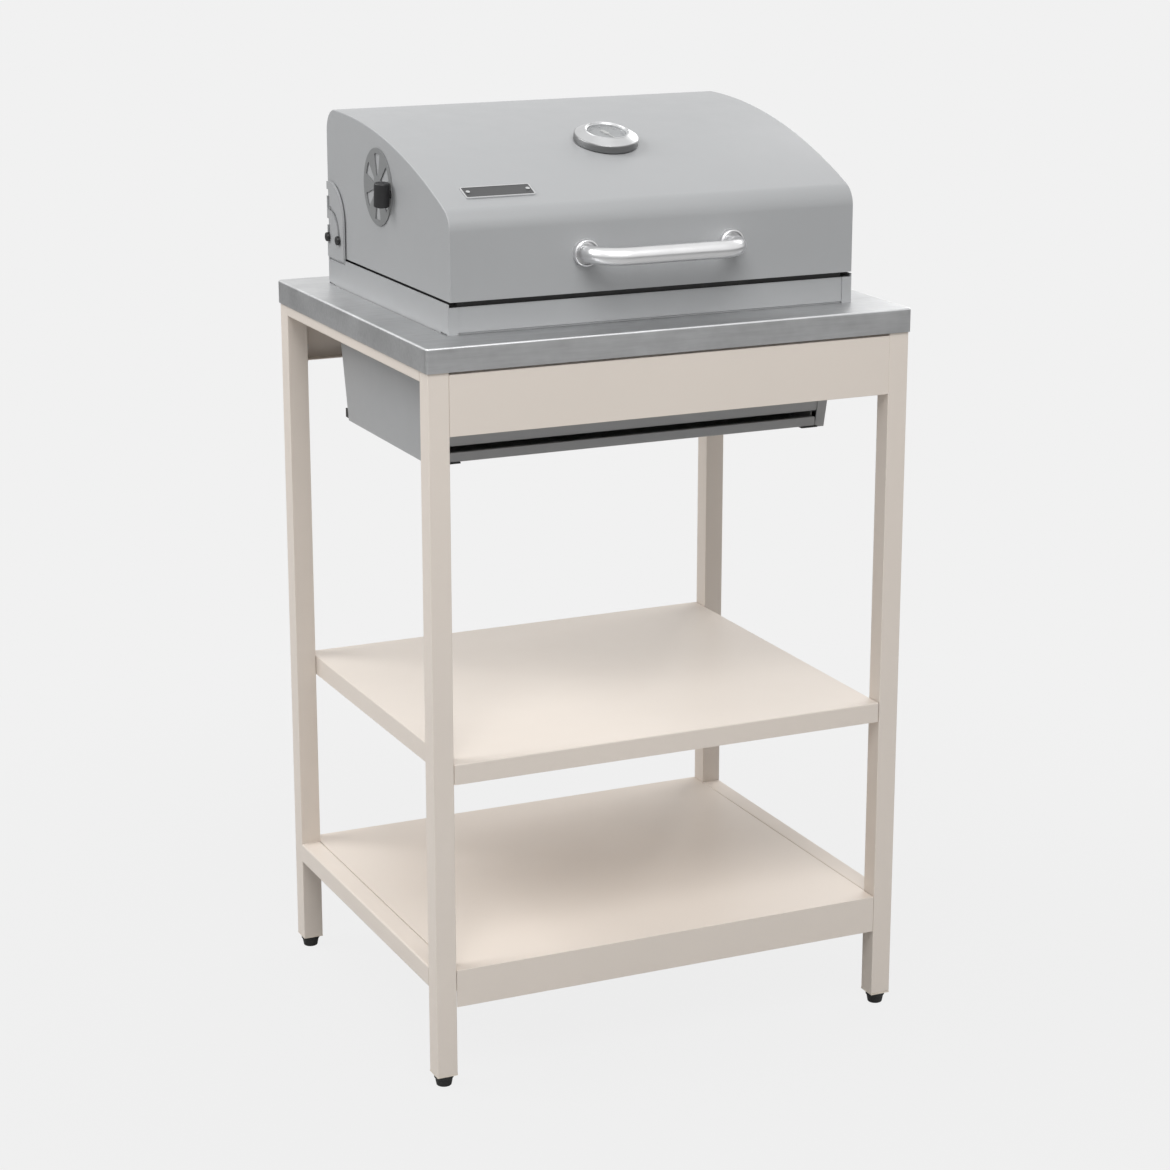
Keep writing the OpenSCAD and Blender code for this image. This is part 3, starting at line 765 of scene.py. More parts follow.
def turned(
    profile: list[tuple[float, float]], place: Matrix, steps: int = 96
) -> BMesh:
    """A body of revolution.

    Args:
        profile: Radius and height of the points of its section, in order.
        place: The matrix from the lathe's frame to the row frame.
        steps: The number of steps round it.

    Returns:
        The new bmesh.
    """
    shape = bmesh.new()
    verts = [shape.verts.new((radius, 0, height)) for radius, height in profile]
    for first, second in zip(verts, verts[1:]):
        shape.edges.new((first, second))
    bmesh.ops.spin(
        shape,
        geom=shape.verts[:] + shape.edges[:],
        cent=(0, 0, 0),
        axis=(0, 0, 1),
        angle=2 * math.pi,
        steps=steps,
        use_merge=True,
    )
    bmesh.ops.remove_doubles(shape, verts=shape.verts, dist=MERGE)
    bmesh.ops.recalc_face_normals(shape, faces=shape.faces)
    bmesh.ops.transform(shape, matrix=place, verts=shape.verts)
    return shape


def along(start: Vector, direction: Vector) -> Matrix:
    """The matrix that puts Z along a direction, from a start point."""
    turn = Vector((0, 0, 1)).rotation_difference(direction)
    return Matrix.Translation(start) @ turn.to_matrix().to_4x4()


def arc(
    centre: tuple[float, float], radius: float, start: float, end: float, steps: int
) -> list[tuple[float, float]]:
    """Points on an arc of a section.

    Args:
        centre: The arc's centre.
        radius: Its radius.
        start: The first angle in degrees.
        end: The last angle in degrees.
        steps: The number of steps.

    Returns:
        The points.
    """
    angles = [math.radians(start + (end - start) * i / steps) for i in range(steps + 1)]
    return [
        (centre[0] + radius * math.cos(a), centre[1] + radius * math.sin(a))
        for a in angles
    ]


def join(shapes: Iterable[BMesh]) -> BMesh:
    """Puts several bmeshes into one.

    Args:
        shapes: The bmeshes, which are freed.

    Returns:
        The new bmesh.
    """
    whole = bmesh.new()
    for shape in shapes:
        carrier = bpy.data.meshes.new("carrier")
        shape.to_mesh(carrier)
        shape.free()
        whole.from_mesh(carrier)
        bpy.data.meshes.remove(carrier)
    return whole


@dataclass
class Maker:
    """Turns bmeshes into finished pieces that ride on a body.

    Attributes:
        body: The body that the pieces ride on.
        made: The names of the pieces made so far.
    """

    body: Body

    def __post_init__(self) -> None:
        """Starts with no pieces."""
        self.made: list[str] = []

    def piece(
        self,
        name: str,
        shape: BMesh,
        finish: Any,
        replaces: Iterable[str] = (),
        wall: float = 0.0,
        rim: float = 0.0,
        weighted: bool = True,
    ) -> bpy.types.Object:
        """Makes a finished piece.

        Args:
            name: The piece's name.
            shape: Its bmesh, which is freed.
            finish: Its finish.
            replaces: The CAD nodes that it stands for.
            wall: The thickness that an open skin is given, inwards.
            rim: The radius given to its sharp rims.
            weighted: Whether broad faces keep their flat shading.

        Returns:
            The new object.
        """
        mesh = bpy.data.meshes.new(name)
        for face in shape.faces:
            face.smooth = True
        shape.to_mesh(mesh)
        shape.free()
        mesh.set_sharp_from_angle(angle=SMOOTH_ANGLE)
        mesh.materials.append(FINISHES.get(finish))
        made = bpy.data.objects.new(name, mesh)
        bpy.context.scene.collection.objects.link(made)
        if wall:
            solid = made.modifiers.new("wall", "SOLIDIFY")
            solid.thickness = wall
            solid.offset = -1.0
            solid.use_even_offset = True
        if rim:
            edge = made.modifiers.new("rims", "BEVEL")
            edge.width = rim
            edge.segments = 2
            edge.limit_method = "ANGLE"
            edge.angle_limit = math.radians(40)
        if weighted:
            flat = made.modifiers.new("flat_faces", "WEIGHTED_NORMAL")
            flat.weight = WEIGHT_LIMIT
            flat.keep_sharp = True
        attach(made, self.body.value)
        names = list(replaces)
        if names:
            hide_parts(*names)
        self.made.append(name)
        LOG.info("piece %s", name)
        return made

    def rounded(
        self,
        node: str,
        finish: Any,
        radius: float,
        picks: Callable[[BMEdge], bool] = is_fold,
        segments: int = 4,
    ) -> bpy.types.Object:
        """Makes a piece from a CAD node with its folds rounded.

        Args:
            node: The CAD node, which the piece stands for.
            finish: The piece's finish.
            radius: The outside radius of the folds.
            picks: The test that an edge to be rounded passes.
            segments: The number of facets of a fold.

        Returns:
            The new object.
        """
        shape = merged(node)
        soften(shape, [edge for edge in shape.edges if picks(edge)], radius, segments)
        return self.piece(f"{node}_finished", shape, finish, [node])

    def dress(self, node: str, finish: Any) -> None:
        """Gives a CAD node its finish.

        Args:
            node: The node's name.
            finish: The finish.
        """
        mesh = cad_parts[node].data
        mesh.materials.clear()
        mesh.materials.append(FINISHES.get(finish))
        self.made.append(node)
        LOG.info("dressed %s", node)


@dataclass(frozen=True)
class Fastener:
    """A turned screw or bolt whose head has a driving recess.

    Attributes:
        recess: The number of sides of the recess.
        recess_share: The recess's width as a share of the head.
        dome: The height of the dome as a share of the head's height.
    """

    recess: int = 6
    recess_share: float = 0.5
    dome: float = 0.35

    def at(self, verts: list[Vector]) -> BMesh:
        """Builds the fastener in the place of a plain one.

        Args:
            verts: The plain fastener's points, with its axis along X or Y.

        Returns:
            The new bmesh.
        """
        low = Vector([min(v[i] for v in verts) for i in range(3)])
        high = Vector([max(v[i] for v in verts) for i in range(3)])
        span = high - low
        axis = max(range(3), key=lambda i: span[i])
        centre = (low + high) / 2
        across = [i for i in range(3) if i != axis]

        def radius(point: Vector) -> float:
            """The point's distance from the axis."""
            return math.hypot(*(point[i] - centre[i] for i in across))

        head_r = max(radius(v) for v in verts)
        head = [v[axis] for v in verts if radius(v) > 0.97 * head_r]
        shank_r = max((radius(v) for v in verts if radius(v) < 0.9 * head_r), default=head_r)
        at_high = abs(max(head) - high[axis]) < abs(min(head) - low[axis])
        head_h = max(head) - min(head)
        direction = Vector([0, 0, 0])
        direction[axis] = 1.0 if at_high else -1.0
        start = centre.copy()
        start[axis] = low[axis] if at_high else high[axis]
        length = span[axis]
        rise = head_h * self.dome
        shape = bmesh.new()
        profile = [(0, 0), (shank_r - 0.4 * MM, 0), (shank_r, 0.4 * MM)]
        profile += [(shank_r, length - head_h), (head_r, length - head_h)]
        profile += [(head_r, length - rise)]
        flat_r = head_r * 0.72
        profile += [(head_r * 0.93, length - rise * 0.35), (flat_r, length), (0, length)]
        shape = turned(profile, Matrix.Identity(4), 48)
        self._sink(shape, flat_r, length, head_h)
        bmesh.ops.transform(shape, matrix=along(start, direction), verts=shape.verts)
        return shape

    def _sink(self, shape: BMesh, flat_r: float, top: float, head_h: float) -> None:
        """Sinks the driving recess into the head.

        Args:
            shape: The fastener, upright.
            flat_r: The radius of the head's flat top.
            top: The height of its top.
            head_h: The height of its head.
        """
        caps = [
            face
            for face in shape.faces
            if face.normal.z > 0.99 and face.calc_center_median().z > top - MERGE
        ]
        merged_cap = bmesh.ops.dissolve_faces(shape, faces=caps)["region"]
        recess_r = flat_r * self.recess_share / 0.72
        bmesh.ops.inset_region(
            shape, faces=merged_cap, thickness=flat_r - recess_r, use_even_offset=True
        )
        inner = min(
            (f for f in shape.faces if f.normal.z > 0.99),
            key=lambda f: f.calc_center_median().xy.length + breadth(f),
        )
        rim = sorted(inner.verts, key=lambda v: math.atan2(v.co.y, v.co.x))
        step = 2 * math.pi / self.recess
        for vert in rim:
            angle = math.atan2(vert.co.y, vert.co.x)
            within = (angle % step) - step / 2
            reach = recess_r * math.cos(step / 2) / math.cos(within)
            vert.co.x, vert.co.y = reach * math.cos(angle), reach * math.sin(angle)
        sunk = bmesh.ops.extrude_face_region(shape, geom=[inner])["geom"]
        bmesh.ops.delete(shape, geom=[inner], context="FACES_ONLY")
        bmesh.ops.translate(
            shape,
            vec=(0, 0, -0.55 * head_h),
            verts=[item for item in sunk if isinstance(item, BMVert)],
        )


def islands(node: str) -> list[list[Vector]]:
    """The separate solids of a CAD node.

    Args:
        node: The node's name.

    Returns:
        The points of each solid.
    """
    shape = bmesh.new()
    shape.from_mesh(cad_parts[node].data)
    bmesh.ops.remove_doubles(shape, verts=shape.verts, dist=MERGE)
    found: list[list[Vector]] = []
    seen: set[BMVert] = set()
    for vert in shape.verts:
        if vert in seen:
            continue
        stack, points = [vert], []
        seen.add(vert)
        while stack:
            here = stack.pop()
            points.append(here.co.copy())
            for edge in here.link_edges:
                other = edge.other_vert(here)
                if other not in seen:
                    seen.add(other)
                    stack.append(other)
        found.append(points)
    shape.free()
    return found


def fastener_set(node: str, kind: Fastener) -> BMesh:
    """Detailed fasteners in the places of a CAD node's plain ones."""
    return join(kind.at(points) for points in islands(node))


def weld_bead(start: Vector, end: Vector, radius: float) -> BMesh:
    """A rippled bead of weld along a joint.

    Args:
        start: Where the bead starts.
        end: Where it ends.
        radius: Its radius.

    Returns:
        The new bmesh.
    """
    shape = bmesh.new()
    run = end - start
    ripples = max(4, round(run.length / (0.9 * radius)))
    per_ripple = 4
    steps = ripples * per_ripple
    section = bmesh.ops.create_circle(
        shape, cap_ends=True, radius=radius, segments=10, matrix=along(start, run)
    )["verts"]
    for vert in section:
        vert.co = start + (vert.co - start) * 0.35
    cap = shape.faces[:]
    grown = 0.35
    for i in range(1, steps + 1):
        made = bmesh.ops.extrude_face_region(shape, geom=cap)["geom"]
        if i > 1:
            bmesh.ops.delete(shape, geom=cap, context="FACES_ONLY")
        cap = [item for item in made if isinstance(item, BMFace)]
        verts = [item for item in made if isinstance(item, BMVert)]
        bmesh.ops.translate(shape, vec=run / steps, verts=verts)
        taper = min(1.0, 4 * min(i, steps - i) / steps + 0.35)
        wave = 0.86 + 0.14 * abs(math.sin(math.pi * i / per_ripple))
        centre = start + run * (i / steps)
        factor = taper * wave / grown
        for vert in verts:
            vert.co = centre + (vert.co - centre) * factor
        grown = taper * wave
    bmesh.ops.recalc_face_normals(shape, faces=shape.faces)
    return shape


# ---- sub-assemblies ----


@dataclass
class Stand:
    """The painted stand: legs, rails, aprons, shelves, plugs and feet.

    Attributes:
        tube_bend: Outside radius of the square tubes.
        sheet_bend: Outside radius of the folded sheets.
        bead: Radius of the weld beads.
    """

    tube_bend: float = 2.2 * MM
    sheet_bend: float = 1.8 * MM
    bead: float = 1.5 * MM

    def build(self) -> list[str]:
        """Builds the stand's pieces.

        Returns:
            Their names.
        """
        maker = Maker(Body.STAND)
        tubes = [f"leg_{end}_{side}" for end in ("front", "rear") for side in ("left", "right")]
        tubes += [f"{level}_rail_{side}" for level in ("top", "lower") for side in ("left", "right")]
        for node in tubes:
            maker.rounded(node, STAND_PAINT, self.tube_bend)
        for node in ("apron_front", "apron_rear", "middle_shelf", "lower_shelf"):
            maker.rounded(node, STAND_PAINT, self.sheet_bend)
        maker.piece("rail_weld_beads", self._beads(), STAND_PAINT)
        maker.dress("leg_plugs", PLUG_PLASTIC)
        maker.piece("rubber_feet", self._feet(), FOOT_RUBBER, ["feet"])
        for node in ("apron_screws", "shelf_screws"):
            maker.piece(
                f"{node}_crossed", fastener_set(node, Fastener(4, 0.42)), ZINC,
                [node],
            )
        return maker.made

    def _beads(self) -> BMesh:
        """The welds between the rails and the legs."""
        beads = []
        for level in ("top", "lower"):
            for side in ("left", "right"):
                low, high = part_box(f"{level}_rail_{side}")
                inner_x = high.x if side == "left" else low.x
                inset = 0.6 * MM
                for y in (low.y, high.y):
                    corner = 3 * MM
                    xs = (low.x + corner, high.x - corner)
                    faces = [low.z] if level == "top" else [low.z, high.z]
                    for z in faces:
                        lift = inset if z == low.z else -inset
                        beads.append(
                            weld_bead(
                                Vector((xs[0], y, z + lift)),
                                Vector((xs[1], y, z + lift)),
                                self.bead,
                            )
                        )
                    if level == "top":
                        into = inset if side == "right" else -inset
                        beads.append(
                            weld_bead(
                                Vector((inner_x + into, y, low.z + corner)),
                                Vector((inner_x + into, y, high.z - corner)),
                                self.bead,
                            )
                        )
        return join(beads)

    def _feet(self) -> BMesh:
        """The four moulded feet with a waist and a rounded sole."""
        feet = []
        for points in islands("feet"):
            low = Vector([min(p[i] for p in points) for i in range(3)])
            high = Vector([max(p[i] for p in points) for i in range(3)])
            centre = (low + high) / 2
            top_r = (high.x - low.x) / 2
            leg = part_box("leg_plugs")[0].z
            sole_r = top_r - 2.5 * MM
            bend = 1.5 * MM
            profile = [(0, 0.3 * MM), (sole_r * 0.6, 0.3 * MM), (sole_r * 0.66, 0)]
            profile += arc((sole_r - bend, bend), bend, -90, 0, 5)
            profile += [(sole_r + 0.9 * MM, leg * 0.45), (top_r - 1.2 * MM, leg * 0.62)]
            profile += [(top_r - 0.4 * MM, leg * 0.68), (top_r, leg * 0.74)]
            profile += [(top_r, leg - 0.6 * MM), (top_r - 0.5 * MM, leg), (4 * MM, leg)]
            profile += [(4 * MM, high.z), (0, high.z)]
            feet.append(turned(profile, Matrix.Translation((centre.x, centre.y, 0)), 64))
        return join(feet)


@dataclass
class Worktop:
    """The folded steel worktop with a cut-out for the grill and lapped corners.

    Attributes:
        sheet: Its thickness.
        corner_bend: Radius of the upright corners.
        top_bend: Radius of the fold between the top and the lip.
        lap: Distance of the seam from a corner.
        seam: Width of the seam.
        play: Clearance of the cut-out round the firebox.
    """

    sheet: float = 1.5 * MM
    corner_bend: float = 3.0 * MM
    top_bend: float = 2.4 * MM
    lap: float = 4.5 * MM
    seam: float = 0.7 * MM
    play: float = 1.5 * MM

    def build(self) -> list[str]:
        """Builds the worktop.

        Returns:
            The names of its pieces.
        """
        maker = Maker(Body.STAND)
        low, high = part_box("worktop")
        shape = block(low, high)
        floor = [f for f in shape.faces if f.normal.z < -0.9]
        bmesh.ops.delete(shape, geom=floor, context="FACES")
        upright = [e for e in shape.edges if abs(e.verts[0].co.z - e.verts[1].co.z) > MERGE]
        soften(shape, upright, self.corner_bend, 6)
        crown = [
            e
            for e in shape.edges
            if len(e.link_faces) == 2
            and all(v.co.z > high.z - MERGE for v in e.verts)
        ]
        soften(shape, crown, self.top_bend, 5)
        self._cut_out(shape)
        self._lap_corners(shape, low, high)
        maker.piece(
            "worktop_folded", shape, WORKTOP_STEEL, ["worktop"],
            wall=self.sheet,
        )
        return maker.made

    def _cut_out(self, shape: BMesh) -> None:
        """Cuts the opening for the firebox out of the top."""
        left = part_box("firebox_side_left")[0].x - self.play
        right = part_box("firebox_side_right")[1].x + self.play
        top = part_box("worktop")[1].z
        reach = 0.9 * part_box("worktop")[1].y
        rows = [
            p.y
            for points in islands("worktop")
            for p in points
            if p.z > top - MERGE and left - MERGE < p.x < right + MERGE and abs(p.y) < reach
        ]
        front, rear = min(rows), max(rows)
        for point, normal in (
            ((left, 0, 0), (1, 0, 0)),
            ((right, 0, 0), (1, 0, 0)),
            ((0, front, 0), (0, 1, 0)),
            ((0, rear, 0), (0, 1, 0)),
        ):
            flat = [f for f in shape.faces if f.normal.z > 0.999]
            parts = flat + [e for f in flat for e in f.edges] + [v for f in flat for v in f.verts]
            bmesh.ops.bisect_plane(
                shape, geom=list(set(parts)), plane_co=point, plane_no=normal
            )
        hole = [
            f
            for f in shape.faces
            if f.normal.z > 0.999
            and left < f.calc_center_median().x < right
            and front < f.calc_center_median().y < rear
        ]
        bmesh.ops.delete(shape, geom=hole, context="FACES")

    def _lap_corners(self, shape: BMesh, low: Vector, high: Vector) -> None:
        """Opens the thin seams where the lips lap at the corners.

        Args:
            shape: The worktop's skin.
            low: Its lowest corner.
            high: Its highest corner.
        """
        top = high.z - 1.3 * self.top_bend
        cuts = []
        for sign in (-1, 1):
            edge = low.y if sign < 0 else high.y
            first = edge - sign * self.lap
            cuts.append((min(first, first - sign * self.seam), self.seam))
        for start, width in cuts:
            for y in (start, start + width):
                lips = [f for f in shape.faces if abs(f.normal.x) > 0.999]
                geom = lips + [e for f in lips for e in f.edges] + [v for f in lips for v in f.verts]
                bmesh.ops.bisect_plane(
                    shape, geom=list(set(geom)), plane_co=(0, y, 0), plane_no=(0, 1, 0)
                )
            lips = [f for f in shape.faces if abs(f.normal.x) > 0.999]
            geom = lips + [e for f in lips for e in f.edges] + [v for f in lips for v in f.verts]
            bmesh.ops.bisect_plane(
                shape, geom=list(set(geom)), plane_co=(0, 0, top), plane_no=(0, 0, 1)
            )
            slit = [
                f
                for f in shape.faces
                if abs(f.normal.x) > 0.999
                and start < f.calc_center_median().y < start + width
                and f.calc_center_median().z < top
            ]
            bmesh.ops.delete(shape, geom=slit, context="FACES")


@dataclass
class Firebox:
    """The painted firebox and collar, with the parts round the fire.

    Attributes:
        bend: Outside radius of the folded corners.
        rod: Diameter of the grates' rods.
    """

    bend: float = 2.2 * MM
    rod: float = 5.0 * MM

    def build(self) -> list[str]:
        """Builds the firebox's pieces.

        Returns:
            Their names.
        """
        maker = Maker(Body.STAND)
        for side in ("left", "right"):
            maker.rounded(f"firebox_side_{side}", GRILL_PAINT, self.bend)
            maker.rounded(
                f"hinge_plate_{side}", GRILL_PAINT, 0.7 * MM,
                lambda edge: False,
            )
            maker.dress(f"drawer_runner_{side}", FIRE_BLACK)
        for node in ("firebox_front", "firebox_rear"):
            maker.rounded(node, GRILL_PAINT, self.bend)
        for node in ("collar_front", "collar_rear"):
            maker.dress(node, GRILL_PAINT)
        maker.rounded("inner_rim", FIRE_BLACK, 1.5 * MM)
        maker.dress("charcoal_ledges", FIRE_BLACK)
        maker.dress("hinge_plate_nuts", ZINC)
        maker.piece(
            "cooking_grate_rods", self._grate("cooking_grate"), GRATE_STEEL,
            ["cooking_grate"],
        )
        maker.piece(
            "charcoal_grate_rods", self._grate("charcoal_grate"), FIRE_BLACK,
            ["charcoal_grate"],
        )
        return maker.made

    def _rod(self, start: Vector, end: Vector) -> BMesh:
        """A round rod with softened ends."""
        run = end - start
        r = self.rod / 2
        tip = 0.7 * MM
        profile = [(0, 0), (r - tip, 0), (r, tip)]
        profile += [(r, run.length - tip), (r - tip, run.length), (0, run.length)]
        return turned(profile, along(start, run), 12)

    def _grate(self, node: str) -> BMesh:
        """Round rods in the places of a grate's square bars.

        Args:
            node: The grate's CAD node.

        Returns:
            The new bmesh.
        """
        low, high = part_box(node)
        r = self.rod / 2
        points = [p for points in islands(node) for p in points]
        starts = sorted(
            {round(p.x, 5) for p in points if p.z > high.z - MERGE}
        )
        rods = []
        for x in starts[::2]:
            rods.append(
                self._rod(
                    Vector((x + r, low.y, high.z - r)), Vector((x + r, high.y, high.z - r))
                )
            )
        for y in (low.y + r, (low.y + high.y) / 2, high.y - r):
            rods.append(
                self._rod(Vector((low.x, y, low.z + r)), Vector((high.x, y, low.z + r)))
            )
        return join(rods)


@dataclass
class AshDrawer:
    """The shallow drawer that catches the ash.

    Attributes:
        bend: Outside radius of its folds.
    """

    bend: float = 1.2 * MM

    def build(self) -> list[str]:
        """Builds the drawer.

        Returns:
            The names of its pieces.
        """
        maker = Maker(Body.DRAWER)
        maker.rounded("ash_drawer", GRILL_PAINT, self.bend)
        return maker.made


@dataclass
class Hood:
    """The arched hood with its side panels, bolts and blank plate.

    Attributes:
        edge_bend: Radius of the welded edge between the top and the sides.
        rim_width: Width of the blank plate's bright rim.
        plate_bend: Radius of the blank plate's corners.
    """

    edge_bend: float = 1.2 * MM
    rim_width: float = 1.6 * MM
    plate_bend: float = 3.0 * MM

    def build(self) -> list[str]:
        """Builds the hood's own pieces.

        Returns:
            Their names.
        """
        maker = Maker(Body.HOOD)
        low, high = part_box("hood_shell")
        inside = Vector((middle("hood_shell").x, middle("hood_shell").y, low.z + 0.04))

        def is_end_edge(edge: BMEdge) -> bool:
            """Whether an edge is on the outside of the hood's left or right end."""
            ends = (low.x, high.x)
            if not any(all(abs(v.co.x - x) < MERGE for v in edge.verts) for x in ends):
                return False
            skins = [f for f in edge.link_faces if abs(f.normal.x) < 0.5]
            centre = (edge.verts[0].co + edge.verts[1].co) / 2
            return bool(skins) and skins[0].normal.dot(centre - inside) > 0 and (
                skins[0].normal.z > -0.5
            )

        maker.rounded(
            "hood_shell", GRILL_PAINT, self.edge_bend, is_end_edge, 3
        )
        for side in ("left", "right"):
            maker.dress(f"hood_side_{side}", GRILL_PAINT)
        for node in ("pivot_bolts", "guide_bolts"):
            maker.piece(
                f"{node}_socket", fastener_set(node, Fastener()), BLACK_OXIDE,
                [node],
            )
        for node in ("hinge_nuts", "handle_screws", "thermometer_nut", "thermometer_probe",
                     "vent_rivet"):
            maker.dress(node, ZINC)
        self._blank_plate(maker)
        return maker.made

    def _blank_plate(self, maker: Maker) -> None:
        """Builds the blank plate: a bright raised rim round a dark sunken face."""
        normal = self._plate_normal()
        centre = middle("badge_plate")
        points = [p - centre for points in islands("badge_plate") for p in points]
        right = Vector((1, 0, 0))
        up = normal.cross(right)
        width = max(p.dot(right) for p in points)
        height = max(p.dot(up) for p in points)
        thick = max(p.dot(normal) for p in points)
        place = Matrix.Translation(centre) @ Matrix(
            ((right.x, up.x, normal.x), (right.y, up.y, normal.y), (right.z, up.z, normal.z))
        ).to_4x4()
        rim = block(Vector((-width, -height, -thick)), Vector((width, height, thick)))
        upright = [e for e in rim.edges if abs(e.verts[0].co.z - e.verts[1].co.z) > MERGE]
        soften(rim, upright, self.plate_bend, 6)
        top = [f for f in rim.faces if f.normal.z > 0.99]
        bmesh.ops.inset_region(rim, faces=top, thickness=self.rim_width)
        sunk = bmesh.ops.extrude_face_region(rim, geom=top)["geom"]
        bmesh.ops.delete(rim, geom=top, context="FACES_ONLY")
        bmesh.ops.translate(
            rim, vec=(0, 0, -0.7 * thick), verts=[v for v in sunk if isinstance(v, BMVert)]
        )
        face = block(
            Vector((-width + self.rim_width, -height + self.rim_width, -0.5 * thick)),
            Vector((width - self.rim_width, height - self.rim_width, 0.45 * thick)),
        )
        upright = [e for e in face.edges if abs(e.verts[0].co.z - e.verts[1].co.z) > MERGE]
        soften(face, upright, self.plate_bend - self.rim_width, 4)
        for shape in (rim, face):
            bmesh.ops.transform(shape, matrix=place, verts=shape.verts)
        maker.piece("blank_plate_rim", rim, BADGE_RIM, ["badge_plate"])
        maker.piece("blank_plate_face", face, BADGE_FACE)
        maker.dress("badge_rivets", BADGE_RIM)

    def _plate_normal(self) -> Vector:
        """The direction that the blank plate faces."""
        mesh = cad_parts["badge_plate"].data
        return max(
            (p for p in mesh.polygons if p.normal.z > 0.5), key=lambda p: p.area
        ).normal.copy()


@dataclass
class Handle:
    """The polished tube handle and its domed rosettes.

    Attributes:
        tube: Diameter of the tube.
        bend: Radius of its bends.
        ring: Sides of the tube's section.
        steps: Steps of a bend.
        cup_wall: Inside radius of the rosettes' domed walls.
    """

    tube: float = 20.0 * MM
    bend: float = 34.0 * MM
    ring: int = 48
    steps: int = 20
    cup_wall: float = 12.2 * MM

    def build(self) -> list[str]:
        """Builds the handle.

        Returns:
            The names of its pieces.
        """
        maker = Maker(Body.HOOD)
        maker.piece(
            "handle_tube", self._tube(), HANDLE_STEEL, ["handle_bar"],
            weighted=False,
        )
        maker.piece(
            "handle_rosettes_domed", self._rosettes(), HANDLE_STEEL,
            ["handle_rosettes"], weighted=False,
        )
        return maker.made

    def _tube(self) -> BMesh:
        """The bent tube, closed at both ends."""
        low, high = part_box("handle_bar")
        r = self.tube / 2
        z = (low.z + high.z) / 2
        x0, x1 = low.x + r, high.x - r
        y_back, y_front = high.y, low.y + r
        shape = bmesh.new()
        bmesh.ops.create_circle(
            shape, cap_ends=True, radius=r, segments=self.ring,
            matrix=along(Vector((x0, y_back, z)), Vector((0, -1, 0))),
        )
        cap = shape.faces[:]
        run = (y_back - y_front) - self.bend
        cap = self._extrude(shape, cap, Vector((0, -run, 0)))
        cap = self._turn(shape, cap, Vector((x0 + self.bend, y_front + self.bend, z)))
        cap = self._extrude(shape, cap, Vector((x1 - x0 - 2 * self.bend, 0, 0)))
        cap = self._turn(shape, cap, Vector((x1 - self.bend, y_front + self.bend, z)))
        self._extrude(shape, cap, Vector((0, run, 0)))
        bmesh.ops.remove_doubles(shape, verts=shape.verts, dist=MERGE)
        bmesh.ops.recalc_face_normals(shape, faces=shape.faces)
        return shape

    def _extrude(self, shape: BMesh, cap: list[BMFace], run: Vector) -> list[BMFace]:
        """Extrudes an end face along a straight run.

        Args:
            shape: The tube.
            cap: Its end face.
            run: The run.

        Returns:
            The new end face.
        """
        first = len(shape.faces) == 1
        made = bmesh.ops.extrude_face_region(shape, geom=cap, use_keep_orig=first)["geom"]
        if not first:
            bmesh.ops.delete(
                shape, geom=[f for f in cap if f.is_valid], context="FACES_ONLY"
            )
        bmesh.ops.translate(
            shape, vec=run, verts=[v for v in made if isinstance(v, BMVert)]
        )
        return [f for f in made if isinstance(f, BMFace)]

    def _turn(self, shape: BMesh, cap: list[BMFace], centre: Vector) -> list[BMFace]:
        """Spins an end face through a bend.

        Args:
            shape: The tube.
            cap: Its end face.
            centre: The bend's centre.

        Returns:
            The new end face.
        """
        made = bmesh.ops.spin(
            shape,
            geom=cap + [e for f in cap for e in f.edges] + [v for f in cap for v in f.verts],
            cent=centre,
            axis=(0, 0, 1),
            angle=math.pi / 2,
            steps=self.steps,
        )["geom_last"]
        bmesh.ops.delete(
            shape, geom=[f for f in cap if f.is_valid], context="FACES_ONLY"
        )
        return [f for f in made if isinstance(f, BMFace)]

    def _rosettes(self) -> BMesh:
        """The domed cups round the tube's ends, with a dark gap inside each."""
        cups = []
        inner = self.tube / 2 + 0.1 * MM
        floor = 1.0 * MM
        shoulder = 2.4 * MM
        for points in islands("handle_rosettes"):
            low = Vector([min(p[i] for p in points) for i in range(3)])
            high = Vector([max(p[i] for p in points) for i in range(3)])
            centre = (low + high) / 2
            outer, tall = (high.x - low.x) / 2, high.y - low.y
            crown = (outer + self.cup_wall) / 2
            profile = [(inner, 0), (outer, 0)]
            profile += [
                (
                    crown + (outer - crown) * math.cos(math.radians(turn)),
                    shoulder + (tall - shoulder) * math.sin(math.radians(turn)),
                )
                for turn in range(0, 181, 12)
            ]
            profile += [(self.cup_wall, floor), (inner, floor), (inner, 0)]
            cups.append(
                turned(profile, along(Vector((centre.x, high.y, centre.z)), Vector((0, -1, 0))), 80)
            )
        return join(cups)


